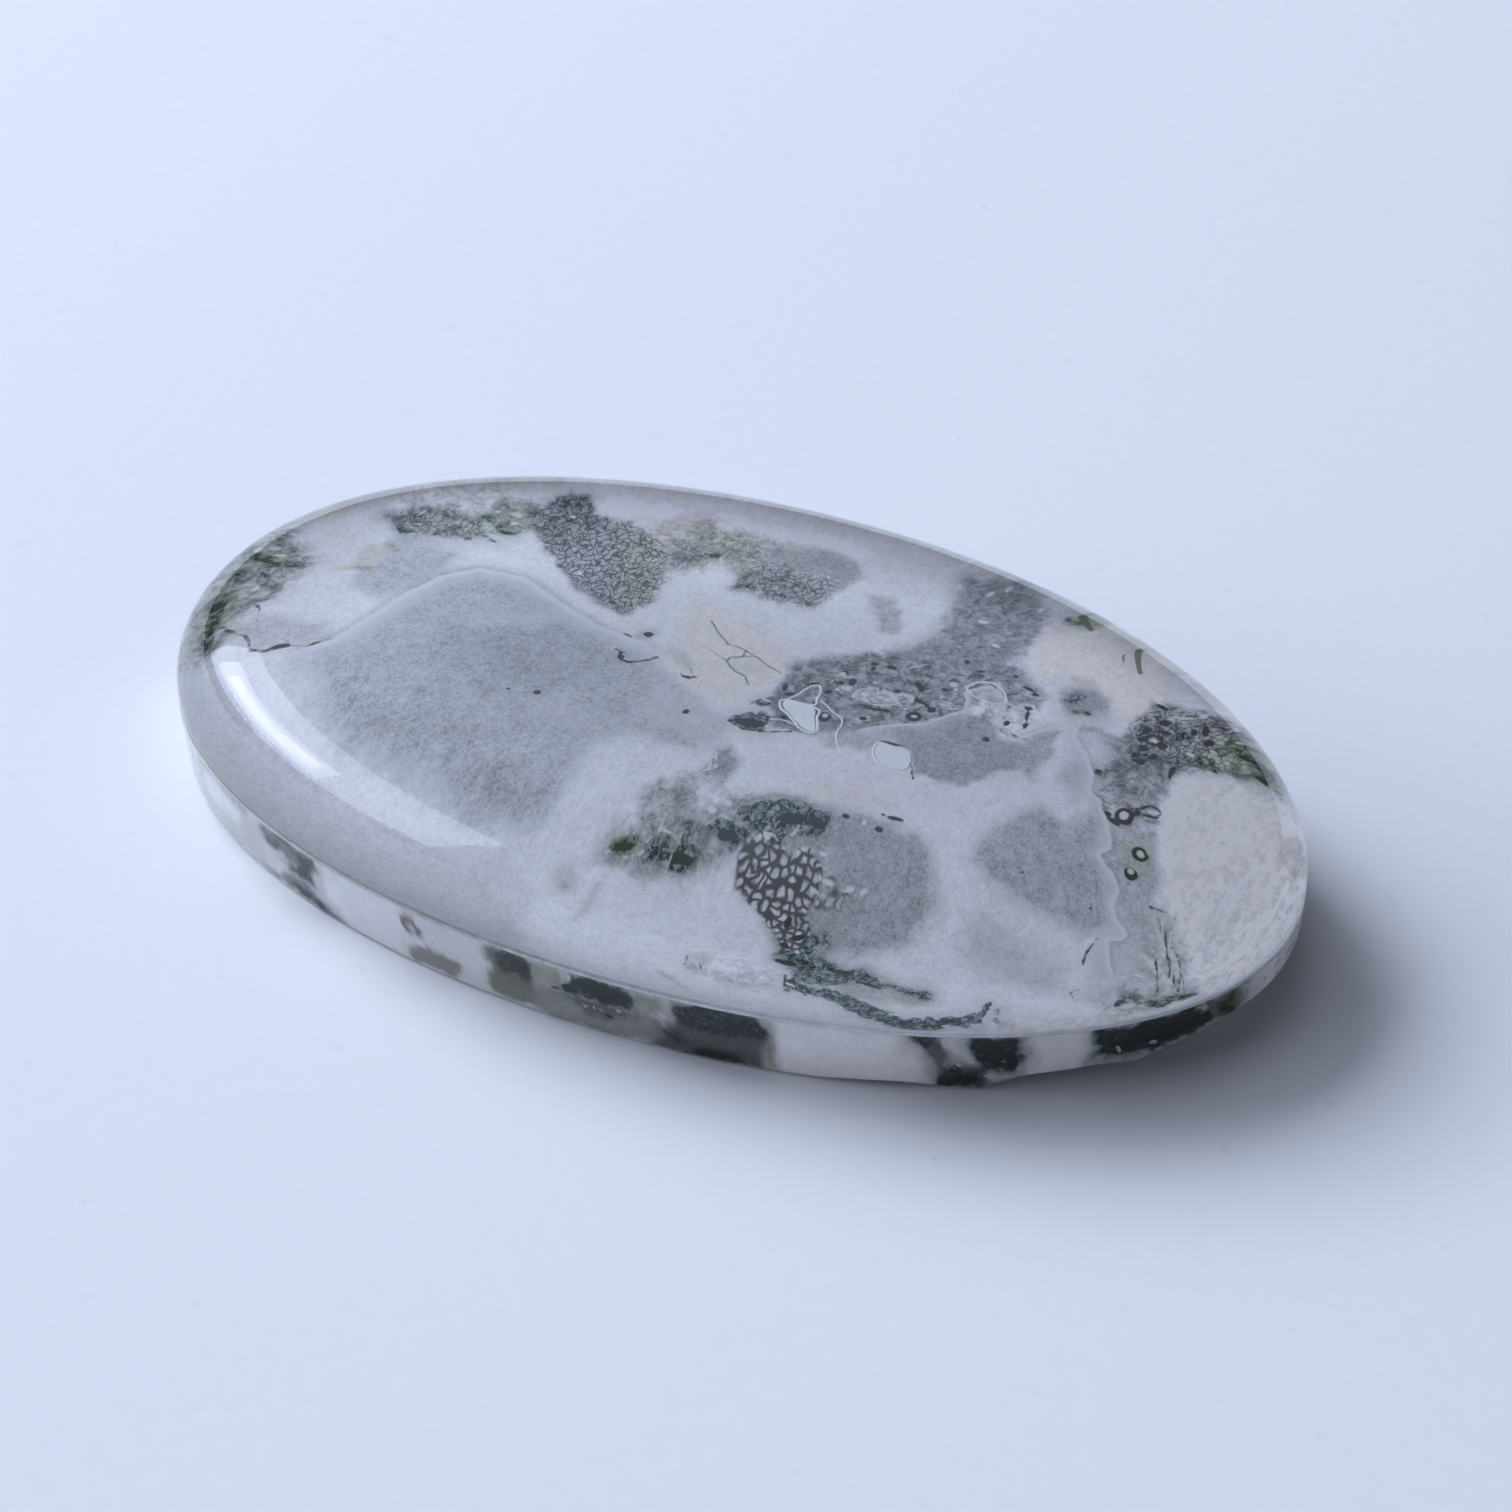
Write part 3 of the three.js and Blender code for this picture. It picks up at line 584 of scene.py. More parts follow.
FACE_INK = [
    [(-15.55, -2.78), (-15.35, -2.55), (-15.0, -2.52), (-14.95, -2.68), (-15.3, -2.72)],
    *blobs([
        (-4.3, 0.75, 0.14, 0.13), (-3.2, 1.25, 0.14, 0.12), (-1.75, 0.68, 0.2, 0.08, -10),
        (-4.05, 2.35, 0.2, 0.16), (-4.7, 1.98, 0.22, 0.08), (-5.95, -2.32, 0.16, 0.14),
        (-0.8, -1.15, 0.13, 0.17), (-6.95, -2.5, 0.1, 0.09), (9.1, 1.88, 0.13, 0.12),
        (6.38, 2.0, 0.3, 0.26), (3.95, 4.2, 0.16, 0.12), (4.5, 4.25, 0.2, 0.1, 20), (4.0, 3.95, 0.1, 0.14),
        (3.65, 2.9, 0.12, 0.2), (3.3, 2.65, 0.14, 0.1), (3.15, 2.05, 0.14, 0.12), (3.15, 3.3, 0.12, 0.14),
        (5.85, 3.65, 0.32, 0.12, -45), (6.8, 2.6, 0.16, 0.14), (6.1, 2.9, 0.3, 0.1, -25),
        (5.3, 3.1, 0.14, 0.1), (5.4, 1.85, 0.14, 0.1), (1.7, 1.6, 0.12, 0.2, 10), (2.0, 1.3, 0.2, 0.1, 40),
        (4.85, 1.15, 0.14, 0.1), (6.75, 3.9, 0.14, 0.1), (2.5, 2.25, 0.2, 0.08, 10),
        (8.85, 4.05, 0.14, 0.08), (7.4, 5.4, 0.16, 0.08, 30), (8.6, 5.6, 0.14, 0.07), (6.8, 5.7, 0.1, 0.1),
        (9.3, 5.15, 0.3, 0.07, -20), (9.6, 4.9, 0.14, 0.08), (9.4, 2.62, 0.17, 0.14),
        (9.35, 3.0, 0.1, 0.16), (9.93, 3.2, 0.09, 0.2, 12), (9.8, 3.7, 0.08, 0.3, 12),
        (9.75, 2.55, 0.16, 0.07), (10.2, 2.5, 0.1, 0.09), (9.7, 4.15, 0.16, 0.1), (13.75, 5.4, 0.16, 0.17),
        (13.5, 4.75, 0.14, 0.2, -20), (13.5, 4.25, 0.12, 0.17), (13.7, 3.85, 0.16, 0.17),
        (13.6, 3.4, 0.12, 0.14), (13.9, 3.15, 0.13, 0.14), (14.1, 3.6, 0.1, 0.17),
        (14.15, 4.25, 0.14, 0.15), (14.0, 4.95, 0.2, 0.09), (14.8, 5.6, 0.1, 0.3, 25),
        (15.1, 5.15, 0.12, 0.2), (14.6, 5.35, 0.1, 0.2, 30), (16.0, 5.0, 0.2, 0.09, -20),
        (16.5, 4.85, 0.18, 0.09), (16.7, 4.4, 0.2, 0.08, -30), (14.8, 3.2, 0.08, 0.3, 10),
        (13.4, 6.1, 0.25, 0.08, -15), (12.9, 2.1, 0.14, 0.1), (14.0, 0.25, 0.26, 0.1, 0),
        (13.8, 0.4, 0.12, 0.12), (14.25, 0.62, 0.3, 0.36), (14.55, 0.95, 0.1, 0.14),
        (15.0, -0.42, 0.24, 0.22), (15.0, -1.1, 0.23, 0.2), (3.6, 0.62, 0.26, 0.3, 25),
        # (6.4, 0.26) is a painted shadow: the dark line along the back edge of the bubble like a letter D
        (6.4, 0.26, 0.5, 0.07, 4), (0.8, -0.95, 0.12, 0.09), (7.55, -3.55, 0.16, 0.13),
        (6.38, -3.55, 0.13, 0.11), (7.85, -2.96, 0.3, 0.08, 4), (7.45, -2.96, 0.1, 0.06),
        (6.0, -6.5, 0.12, 0.2), (6.5, -6.85, 0.3, 0.08, 20), (6.2, -7.25, 0.2, 0.12),
        (6.5, -7.85, 0.4, 0.12), (4.5, -4.95, 0.3, 0.1, -10), (16.6, -5.5, 0.12, 0.16),
        (12.15, -2.7, 0.07, 0.06), (14.3, -2.6, 0.06, 0.05), (12.3, -8.5, 0.35, 0.16, 30),
        (8.3, -7.55, 0.3, 0.12), (9.3, -7.75, 0.4, 0.08), (4.8, -4.3, 0.5, 0.2, 15),
        (5.6, -4.1, 0.35, 0.16), (0.05, -6.32, 0.35, 0.08, 5), (1.9, -6.15, 0.5, 0.12, 5),
        (3.1, -5.4, 0.35, 0.14), (1.45, -0.75, 0.55, 0.25, 12), (-18.3, -0.95, 0.2, 0.16),
        (-18.1, 1.1, 0.5, 0.09, -12), (-15.0, 4.25, 0.25, 0.08, -25), (-9.9, 7.4, 0.2, 0.12, 20),
        (-11.6, 5.8, 0.25, 0.1, 10), (15.3, 4.05, 0.08, 0.08),
    ]),
]

# Thin marks: half width, then the points
FACE_INK_LINES = [
    (0.035, [(-17.3, -1.9), (-16.6, -2.2), (-16.0, -2.75), (-15.5, -2.8), (-14.9, -2.6), (-14.4, -2.58),
             (-14.0, -2.2)]),
    (0.055, [(-4.45, 0.95), (-4.25, 0.65), (-3.95, 0.62), (-3.6, 0.78), (-3.35, 1.0), (-3.15, 1.28)]),
    (0.035, [(-4.7, 1.05), (-4.3, 1.0)]), (0.05, [(-2.0, 0.82), (-1.8, 0.66), (-1.4, 0.82)]),
    (0.03, [(-1.75, 1.2), (-1.6, 0.95)]), (0.07, [(4.6, 1.8), (5.0, 1.72), (5.4, 1.9)]),
    (0.06, [(6.0, 3.0), (6.4, 2.8), (6.75, 2.65)]),
    (0.05, [(9.3, 3.1), (9.35, 2.6), (9.7, 2.45), (10.1, 2.5)]),
    (0.04, [(9.95, 3.0), (9.85, 3.5), (9.7, 4.1)]),
    (0.05, [(14.3, 0.95), (14.55, 1.15), (14.8, 1.45), (15.1, 1.35), (15.0, 1.05), (14.7, 0.95),
            (14.5, 0.8)]),
    (0.06, [(14.06, 4.38), (13.94, 4.6), (13.7, 4.6), (13.58, 4.38), (13.7, 4.16), (13.94, 4.16),
            (14.06, 4.38)]),
    (0.05, [(13.7, 0.45), (13.9, 0.2), (14.3, 0.15)]), (0.035, [(14.8, -3.3), (14.75, -3.8), (14.8, -4.3)]),
    (0.03, [(15.15, -5.2), (15.0, -5.5), (15.3, -5.8)]), (0.03, [(3.55, -8.8), (3.6, -9.3)]),
    (0.03, [(4.0, -8.9), (4.2, -9.4)]), (0.045, [(12.95, -6.95), (13.1, -7.5), (13.15, -8.2)]),
    (0.03, [(-17.3, -0.9), (-16.9, -1.2), (-16.6, -1.7)]),
    (0.06, [(6.75, -8.4), (6.9, -8.9), (7.05, -8.4), (7.3, -8.9), (7.7, -9.1)]),
    (0.04, [(2.9, 1.3), (3.2, 1.0), (3.35, 0.6)]), (0.04, [(7.15, -0.25), (7.45, -0.7), (7.65, -1.1)]),
    (0.025, [(15.8, -1.7), (16.3, -1.6), (16.7, -1.7)]), (0.03, [(16.1, -1.9), (16.8, -2.6), (17.4, -3.6)]),
    (0.03, [(16.4, -2.0), (17.0, -2.9), (17.8, -3.9)]), (0.03, [(16.9, -2.5), (17.5, -3.1), (18.0, -4.1)]),
    (0.03, [(16.7, -3.1), (17.2, -4.0), (17.5, -4.4)]), (0.03, [(17.2, -2.7), (17.9, -3.6), (18.3, -4.2)]),
    (0.03, [(1.0, 0.2), (1.2, 0.6), (1.6, 0.95), (2.0, 0.9)]),
    (0.04, [(0.95, -1.1), (1.5, -1.17), (2.2, -0.95), (2.9, -0.6)]),
]

FACE_PALE_LINES = [
    (0.05, [(9.85, 8.6), (10.1, 8.3), (10.2, 7.95)]),
    (0.05, [(12.3, 7.25), (12.4, 7.6), (12.8, 7.6), (12.9, 7.3)]),
    (0.06, [(7.3, 4.35), (7.45, 4.7), (7.8, 4.9), (8.25, 4.97)]),
    (0.04, [(7.4, 4.05), (7.7, 3.6), (7.75, 3.15), (7.3, 2.95)]),
    (0.04, [(8.9, 4.1), (9.2, 4.05), (9.25, 3.3)]),
    (0.05, [(4.05, 2.1), (4.0, 2.5), (4.3, 2.85), (4.6, 2.9), (4.75, 2.6)]),
    (0.05, [(4.3, 2.1), (4.8, 2.0), (5.3, 2.15), (5.5, 2.4)]),
    (0.05, [(5.35, 2.85), (5.5, 3.05), (5.9, 3.0), (5.95, 2.75)]),
    (0.035, [(5.25, 0.35), (5.3, 0.75), (6.0, 1.2), (6.6, 1.6), (7.0, 2.2)]),
    (0.05, [(1.05, -2.65), (1.3, -3.0)]), (0.06, [(1.12, -3.2), (1.3, -3.5), (1.15, -3.65)]),
    (0.02, [(-0.5, -6.5), (0.4, -6.5), (0.75, -6.3)]), (0.02, [(0.7, -6.1), (1.0, -5.75), (1.5, -5.85)]),
    (0.02, [(1.6, -6.0), (1.7, -6.5)]), (0.02, [(0.9, -5.9), (0.85, -5.4), (1.0, -5.3)]),
    (0.02, [(2.3, -5.35), (2.6, -4.95), (3.0, -5.05)]), (0.03, [(4.7, -5.0), (4.5, -4.9), (4.2, -4.95)]),
    (0.03, [(5.05, -4.75), (5.15, -4.4)]), (0.05, [(2.1, 10.15), (2.35, 10.0), (2.55, 9.65)]),
    (0.05, [(2.3, 10.45), (2.35, 10.0)]), (0.05, [(13.3, -7.9), (13.5, -8.3), (13.8, -8.4)]),
    (0.06, [(-13.7, 6.9), (-13.4, 6.3)]), (0.05, [(-13.0, 7.5), (-13.3, 6.9)]),
    (0.04, [(3.0, 3.15), (3.3, 3.0), (3.45, 3.2)]), (0.05, [(3.5, 2.5), (3.75, 2.4)]),
    (0.04, [(5.1, 4.5), (5.6, 5.0)]), (0.03, [(16.2, -1.9), (16.9, -2.9)]),
    (0.03, [(16.6, -2.1), (17.3, -3.2), (17.7, -4.2)]), (0.03, [(17.0, -2.6), (17.7, -3.5)]),
    (0.05, [(6.9, -8.7), (7.2, -8.8)]), (0.04, [(1.2, 0.75), (1.6, 0.6)]),
    (0.04, [(2.0, -0.3), (2.5, -0.1), (2.9, -0.2)]),
]

FACE_FLECKS = blobs([
    (-11.8, 6.92, 0.2, 0.14, -30), (-11.65, 6.4, 0.13, 0.13), (-12.5, 6.75, 0.1, 0.08),
    (-9.9, 7.65, 0.12, 0.08), (-18.2, 1.8, 0.14, 0.1), (-17.9, 1.45, 0.25, 0.08, 10),
    (-18.6, 1.7, 0.1, 0.14), (-15.7, 6.0, 0.16, 0.14), (-17.6, -0.3, 0.1, 0.1),
    (-17.5, -1.9, 0.12, 0.07, 40), (-14.7, 4.9, 0.1, 0.07, 40), (-14.9, 5.5, 0.06, 0.25, -15),
    (-8.0, 4.7, 0.08, 0.14, 20), (3.62, 2.5, 0.18, 0.12, 20), (3.1, 3.2, 0.1, 0.08),
    (4.35, 3.22, 0.13, 0.09), (3.4, 2.3, 0.1, 0.07), (2.95, 2.6, 0.07, 0.12), (6.38, 2.02, 0.12, 0.09),
    (6.9, 4.3, 0.18, 0.14, -20), (7.1, 4.05, 0.1, 0.1), (5.9, 2.3, 0.1, 0.07), (4.9, 2.5, 0.16, 0.08, 20),
    (3.6, 0.72, 0.1, 0.12), (7.0, 3.0, 0.12, 0.06), (6.3, 8.1, 0.2, 0.1, 20), (7.25, 7.0, 0.14, 0.1),
    (7.7, 9.35, 0.1, 0.12), (5.8, 9.55, 0.16, 0.1, 45), (6.2, 9.9, 0.1, 0.12), (4.6, 9.6, 0.08, 0.14),
    (8.1, 6.2, 0.1, 0.07), (8.45, 8.5, 0.22, 0.2), (8.9, 8.8, 0.25, 0.1, 10), (8.6, 8.85, 0.12, 0.12),
    (9.1, 8.6, 0.1, 0.1), (11.7, 7.4, 0.12, 0.12), (11.3, 7.7, 0.12, 0.1), (13.4, 7.1, 0.2, 0.08, 30),
    (13.9, 6.9, 0.12, 0.1), (14.2, 6.6, 0.14, 0.1), (14.4, 6.2, 0.08, 0.14), (13.82, 4.38, 0.09, 0.08),
    (14.25, 0.64, 0.13, 0.17), (14.9, 1.2, 0.16, 0.08, 20), (13.9, 4.3, 0.05, 0.05),
    (14.1, 5.9, 0.2, 0.07, 30), (15.02, -0.42, 0.11, 0.1), (14.97, -1.02, 0.1, 0.08),
    (15.6, 5.6, 0.1, 0.08), (14.9, 4.3, 0.14, 0.1), (15.3, 5.3, 0.1, 0.1), (17.9, 3.7, 0.14, 0.1),
    (18.3, 3.3, 0.12, 0.12), (18.7, 3.0, 0.1, 0.14), (18.9, 2.7, 0.1, 0.1), (18.2, 2.7, 0.12, 0.1),
    (18.9, 2.1, 0.14, 0.1), (19.2, 1.6, 0.1, 0.16), (18.5, 2.2, 0.1, 0.08), (17.7, 3.9, 0.2, 0.07, -20),
    (19.4, 0.9, 0.08, 0.14), (18.1, 3.9, 0.1, 0.08), (19.4, -0.7, 0.1, 0.12), (19.3, 0.2, 0.08, 0.1),
    (6.98, -3.55, 0.1, 0.12), (1.4, -3.3, 0.07, 0.16), (4.3, -5.0, 0.16, 0.08), (5.6, -4.95, 0.12, 0.07),
    (1.6, -4.5, 0.3, 0.12, 10), (2.2, -4.9, 0.2, 0.1), (2.6, -4.5, 0.14, 0.1), (13.55, -8.1, 0.22, 0.16),
    (12.3, -8.9, 0.16, 0.08, 30), (11.9, -8.5, 0.1, 0.07), (10.6, -8.9, 0.2, 0.06, 10),
    (2.5, -10.2, 0.3, 0.07, -10), (3.2, -10.5, 0.45, 0.09, -8), (2.4, -10.5, 0.16, 0.05),
    (5.0, -8.6, 0.2, 0.1), (5.6, -8.2, 0.2, 0.12), (4.8, -7.9, 0.14, 0.1), (-1.9, 5.9, 0.12, 0.12),
    (-3.9, 5.9, 0.14, 0.1), (-2.85, 3.25, 0.1, 0.09), (6.2, -4.8, 0.16, 0.06), (6.7, -5.3, 0.2, 0.06, 10),
    (7.4, -5.2, 0.14, 0.06, 20), (6.4, -5.6, 0.2, 0.05), (7.8, -5.15, 0.12, 0.07, 40),
])

FACE_VEINS = [
    (0.035, [(-2.4, 4.05), (-1.8, 3.45), (-1.15, 3.02), (-0.55, 2.95)]),
    (0.035, [(-0.5, 2.95), (-0.45, 2.6), (-0.8, 2.4), (-0.85, 2.15), (-0.6, 1.9), (-0.3, 1.7), (0.15, 1.58),
             (0.45, 1.2)]),
    (0.03, [(-0.55, 2.95), (0.0, 2.78), (0.6, 2.48), (1.2, 2.3)]),
    (0.02, [(-2.0, 2.65), (-1.3, 2.3), (-0.85, 2.15)]), (0.02, [(-0.45, 2.6), (-0.15, 2.75)]),
    (0.06, [(11.25, 8.4), (11.5, 8.1), (12.0, 7.45)]), (0.03, [(11.1, 8.1), (11.3, 7.8)]),
    (0.06, [(8.9, 9.35), (9.3, 9.1), (9.6, 8.9)]),
]

# Soft marks: strength, edge width and outline
FACE_WORMS = [
    (1.0, 0.6, [(-11.2, 7.9), (-10, 8.9), (-9.4, 8.3), (-7.6, 8.2), (-5.8, 7.6), (-5.2, 6.0), (-4.8, 4.2),
                (-5.2, 3.2), (-6.4, 3.3), (-7.8, 4.0), (-9.3, 4.9), (-10.3, 5.9), (-11.3, 7.0)]),
    (0.7, 0.6, ring(-14.0, 5.3, 1.9, 0.8, 14)),
    (0.8, 0.6, [(-2.8, 8.2), (0.6, 8.4), (0.7, 6.8), (0.1, 6.2), (-2.6, 6.2)]),
    (0.5, 0.5, ring(-4.9, 7.4, 0.9, 0.9)), (0.85, 0.6, ring(14.5, 4.9, 1.7, 1.4, -15)),
    (0.4, 0.6, ring(-4.0, 8.8, 1.6, 0.5, -5)),
]

FACE_BEADS = [
    (1.0, 0.3, [(3.6, -5.3), (4.1, -4.85), (4.6, -5.0), (5.3, -5.3), (5.6, -4.9), (6.4, -5.1), (6.6, -5.6),
                (6.4, -6.1), (6.9, -6.7), (6.7, -7.3), (6.1, -7.4), (5.8, -6.8), (5.2, -6.75), (4.6, -6.5),
                (4.0, -6.3), (3.7, -5.9)]),
    (0.6, 0.5, ring(6.7, -5.5, 0.8, 0.5)),
]

FACE_FROST = [
    (1.0, 0.6, [(15.3, 3.0), (16.7, 4.2), (17.8, 5.2), (21, 3), (21, -4), (18.6, -3.4), (17.2, -2.4),
                (15.9, -1.2), (15.6, -0.2), (15.3, 1.0)]),
    (0.7, 0.8, [(12.5, 8.6), (16.2, 6.8), (18.6, 5.0), (17.0, 4.8), (14.6, 6.6), (12.5, 7.6)]),
    (0.8, 0.8, [(13.5, -7.8), (16.4, -6.0), (19.4, -4.2), (18.6, -7), (14.5, -10), (12, -9.8)]),
]

# Where small pale and dark grains crowd together
FACE_BUSY = [
    (1.0, 0.5, [(1.4, 2.9), (2.6, 3.8), (3.4, 5.0), (6.6, 5.4), (9.8, 5.4), (10.2, 4.2), (9.6, 2.4),
                (9.0, 3.2), (7.4, 2.4), (6.2, 1.2), (5.1, 0.5), (3.9, 0.4), (2.9, 1.4), (1.5, 1.1)]),
    (0.9, 0.5, [(13.0, 6.3), (14.6, 6.7), (17.6, 4.7), (15.2, 3.6), (14.9, 2.2), (15.2, 0.4), (13.6, 0.2),
                (12.9, 2.0)]),
    (1.0, 0.6, [(-19.6, 3.2), (-18, 3.0), (-16.7, 1.4), (-16.7, -0.4), (-17.2, -3.0), (-19.4, -3)]),
    (0.8, 0.6, [(-16.4, 4.6), (-15.4, 6.6), (-13, 8.0), (-11, 8.2), (-10.8, 6.0), (-12.4, 5.0),
                (-14.5, 4.0)]),
    (0.5, 0.8, [(4.6, 10.3), (8.4, 9.4), (8.6, 6.4), (9.8, 5.2), (5, 4.8), (5.2, 7.2)]),
    (0.6, 0.6, [(-7.6, 8.2), (-5.4, 9.9), (-2.0, 9.8), (-2.4, 8.0), (-4.6, 6.2), (-6.2, 6.4)]),
    (0.6, 0.6, [(0.2, -4.2), (3.9, -3.7), (4.0, -5.4), (2.6, -6.7), (-0.8, -6.9), (-0.2, -5.0)]),
    (0.5, 0.6, [(4.0, -8.4), (6.5, -8.2), (6.2, -9.8), (3.4, -9.6)]),
    (0.6, 0.6, [(16.0, -1.6), (17.4, -2.2), (19.2, -4.0), (17.6, -6.6), (15.9, -5.8), (16.4, -3.6)]),
]

# The edge of the patch that the cement doesn't fill, as in the CAD, with its smaller turns at the right
DRY_PATCH_EDGE = [
    (-15.6, -3.0), (-14.2, -5.2), (-11.8, -7.0), (-8.6, -8.2), (-4.6, -8.8), (0.0, -9.0), (5.0, -9.2),
    (10.0, -8.9), (14.2, -7.6), (16.2, -6.2), (15.9, -4.4), (15.1, -3.2), (15.45, -3.05), (15.55, -2.75),
    (15.1, -2.5), (14.9, -2.2), (14.9, -1.7), (14.5, -1.35), (14.05, -1.1), (14.3, -0.8), (14.2, -0.4),
    (13.9, 0.1), (13.6, 0.5), (13.5, 0.85), (13.0, 1.0), (12.9, 1.4), (12.8, 1.9), (12.45, 2.5),
    (12.0, 3.0), (11.65, 3.4), (11.65, 3.8), (11.3, 4.1), (10.8, 3.75), (9.9, 2.4), (9.2, 3.0), (8.9, 4.3),
    (8.0, 4.8), (7.4, 4.2), (7.7, 3.1), (6.8, 1.8), (5.3, 0.9), (4.3, -0.2), (3.3, 1.2), (2.5, 2.0),
    (1.2, 0.7), (-1.4, 0.6), (-3.8, 1.9), (-6.0, 2.1), (-8.0, 2.9), (-9.6, 3.6), (-11.4, 3.4), (-12.4, 2.4),
    (-13.0, 1.0), (-13.4, -0.6), (-13.9, -2.2), (-14.6, -2.8),
]

# Where that edge shows through the crystal
EDGE_SHOWS = [
    (1.0, 1.0, [(-14.9, -2.0), (-14.4, -1.0), (-14.2, 3.4), (-11.5, 4.6), (-7.5, 4.2), (-3.4, 2.8),
                (-3.4, 1.0), (-7, 1.2), (-10, 2.2), (-12, 0), (-12.6, -3.0), (-14.0, -3.2)]),
    (1.0, 0.6, [(10.9, 4.4), (12.4, 3.8), (14.2, 1.0), (15.2, -1.2), (16.2, -3.0), (15.4, -4.8),
                (14.0, -3.4), (13.2, -0.6), (12.0, 1.0), (11.0, 2.9)]),
    (0.8, 0.4, [(4.8, 0.6), (6.2, 2.2), (7.2, 4.4), (8.1, 5.4), (9.6, 4.2), (9.6, 2.8), (10.6, 4.3),
                (11.2, 3.4), (10.0, 1.8), (8.4, 3.2), (7.6, 1.6), (5.8, 0.5)]),
]

# The marks on the slab's wall, by the distance round it and the height
WALL_STAINS = [
    (0.58, 0.2, 0.1, 0.1, [(-28, 0), (28, 0), (28, 2.5), (-28, 2.5)]),
    (0.44, 0.2, 0.5, 1.2, [(-24, 0), (-13, 0), (-13, 2.5), (-24, 2.5)]),
    (0.34, 0.5, 1.0, 0.2, [(-18, 2.2), (-14, 2.2), (-14, 2.6), (-18, 2.6)]),
    (0.60, 0.0, 0.0, 0.5, [(-17.6, 1.0), (-15.0, 1.2), (-14.6, 2.0), (-17.4, 2.1)]),
    (0.18, 0.0, 0.5, 0.25, [(-13.3, 2.1), (-12.9, 1.6), (-12.0, 1.7), (-11.6, 1.1), (-10.4, 1.1),
                            (-10.7, 1.6), (-10.1, 1.9), (-10.3, 2.5), (-13.1, 2.5)]),
    (0.44, 0.2, 0.2, 0.15, [(-12.5, 1.25), (-11.9, 1.25), (-11.4, 1.65), (-11.9, 1.6)]),
    (0.22, 0.2, 0.4, 0.3, [(-13.6, 0.3), (-12.6, 0.6), (-12, 0.9), (-10.8, 1.0), (-10.2, 0.6), (-9.0, 0.2),
                           (-11.5, 0.15)]),
    (0.64, 0.0, 0.0, 0.3, [(-10, 2.6), (-10.1, 1.6), (-10.4, 1.4), (-9.4, 0.6), (-8.2, 0.2), (-6.5, 0.2),
                           (-6.3, 2.6)]),
    (0.13, 0.3, 0.3, 0.12, ring(-5.87, 1.70, 0.55, 0.36)),
    (0.38, 1.4, 0.4, 0.1, ring(-5.9, 1.66, 0.3, 0.2)),
    (0.22, 0.6, 0.7, 0.25, [(-6.1, 0.3), (-6.0, 0.8), (-5.4, 1.1), (-4.5, 1.1), (-3.9, 0.75), (-4.1, 0.2),
                            (-5.2, 0.15)]),
    (0.20, 0.6, 0.8, 0.25, [(-2.8, 0.3), (-2.7, 2.2), (-2.2, 2.45), (-1.2, 2.45), (-1.0, 1.5), (-0.8, 0.4),
                            (-1.5, 0.2)]),
    (0.38, 1.0, 0.5, 0.2, [(-1.1, 2.4), (-0.1, 2.4), (0.1, 1.8), (-0.2, 1.5), (-1.0, 1.5)]),
    (0.27, 0.6, 0.6, 0.3, [(-1.0, 1.4), (2.6, 1.4), (2.9, 2.4), (3.6, 2.4), (3.7, 0.1), (-1.1, 0.1)]),
    (0.14, 0.2, 0.3, 0.25, [(0.3, 1.4), (2.6, 1.4), (2.2, 0.8), (0.8, 0.7)]),
    (0.40, 1.0, 0.4, 0.2, ring(3.0, 1.9, 0.3, 0.35)),
    (0.50, 0.0, 0.1, 0.2, [(3.3, 1.7), (3.8, 1.75), (4.3, 1.4), (3.9, 1.2), (3.4, 1.4)]),
    (0.11, 0.0, 0.4, 0.3, [(3.4, 0.1), (3.6, 0.9), (4.2, 1.35), (4.0, 2.2), (4.6, 2.4), (6.9, 2.4),
                           (7.2, 1.8), (7.2, 0.1)]),
    (0.34, 0.9, 0.8, 0.5, ring(7.5, 0.9, 0.35, 0.6)),
    (0.88, 0.3, 0.0, 0.4, [(7.7, 0.1), (7.4, 2.5), (11.6, 2.5), (12.4, 1.2), (12.6, 0.1)]),
    (0.14, 0.0, 0.3, 0.35, [(11.8, 2.4), (12.2, 1.9), (12.6, 1.4), (12.9, 1.0), (14.2, 1.2), (14.6, 0.4),
                            (14.4, 0.1), (12.9, 0.1), (13.2, 1.8), (12.9, 2.45)]),
    (0.80, 0.0, 0.0, 0.25, [(12.9, 2.5), (13.3, 1.8), (13.8, 1.2), (14.1, 1.3), (13.7, 2.0), (13.5, 2.5)]),
    (0.55, 0.3, 0.0, 0.2, [(14.3, 0.5), (14.6, 0.85), (15.5, 0.75), (15.4, 0.5)]),
    (0.90, 0.3, 0.0, 0.25, [(15.7, 0.4), (15.7, 2.5), (17.7, 2.5), (17.8, 1.6), (17.4, 0.4)]),
    (0.20, 0.4, 1.0, 0.3, [(21.6, 1.4), (21.4, 2.4), (22.6, 2.4), (23.8, 2.4), (24.0, 1.3)]),
    (0.40, 0.6, 0.8, 0.3, ring(23.6, 2.2, 0.4, 0.35, -30)),
    (0.58, 0.9, 0.5, 0.9, [(24.0, 0), (24.0, 2.5), (27.5, 2.5), (27.5, 0)]),
]

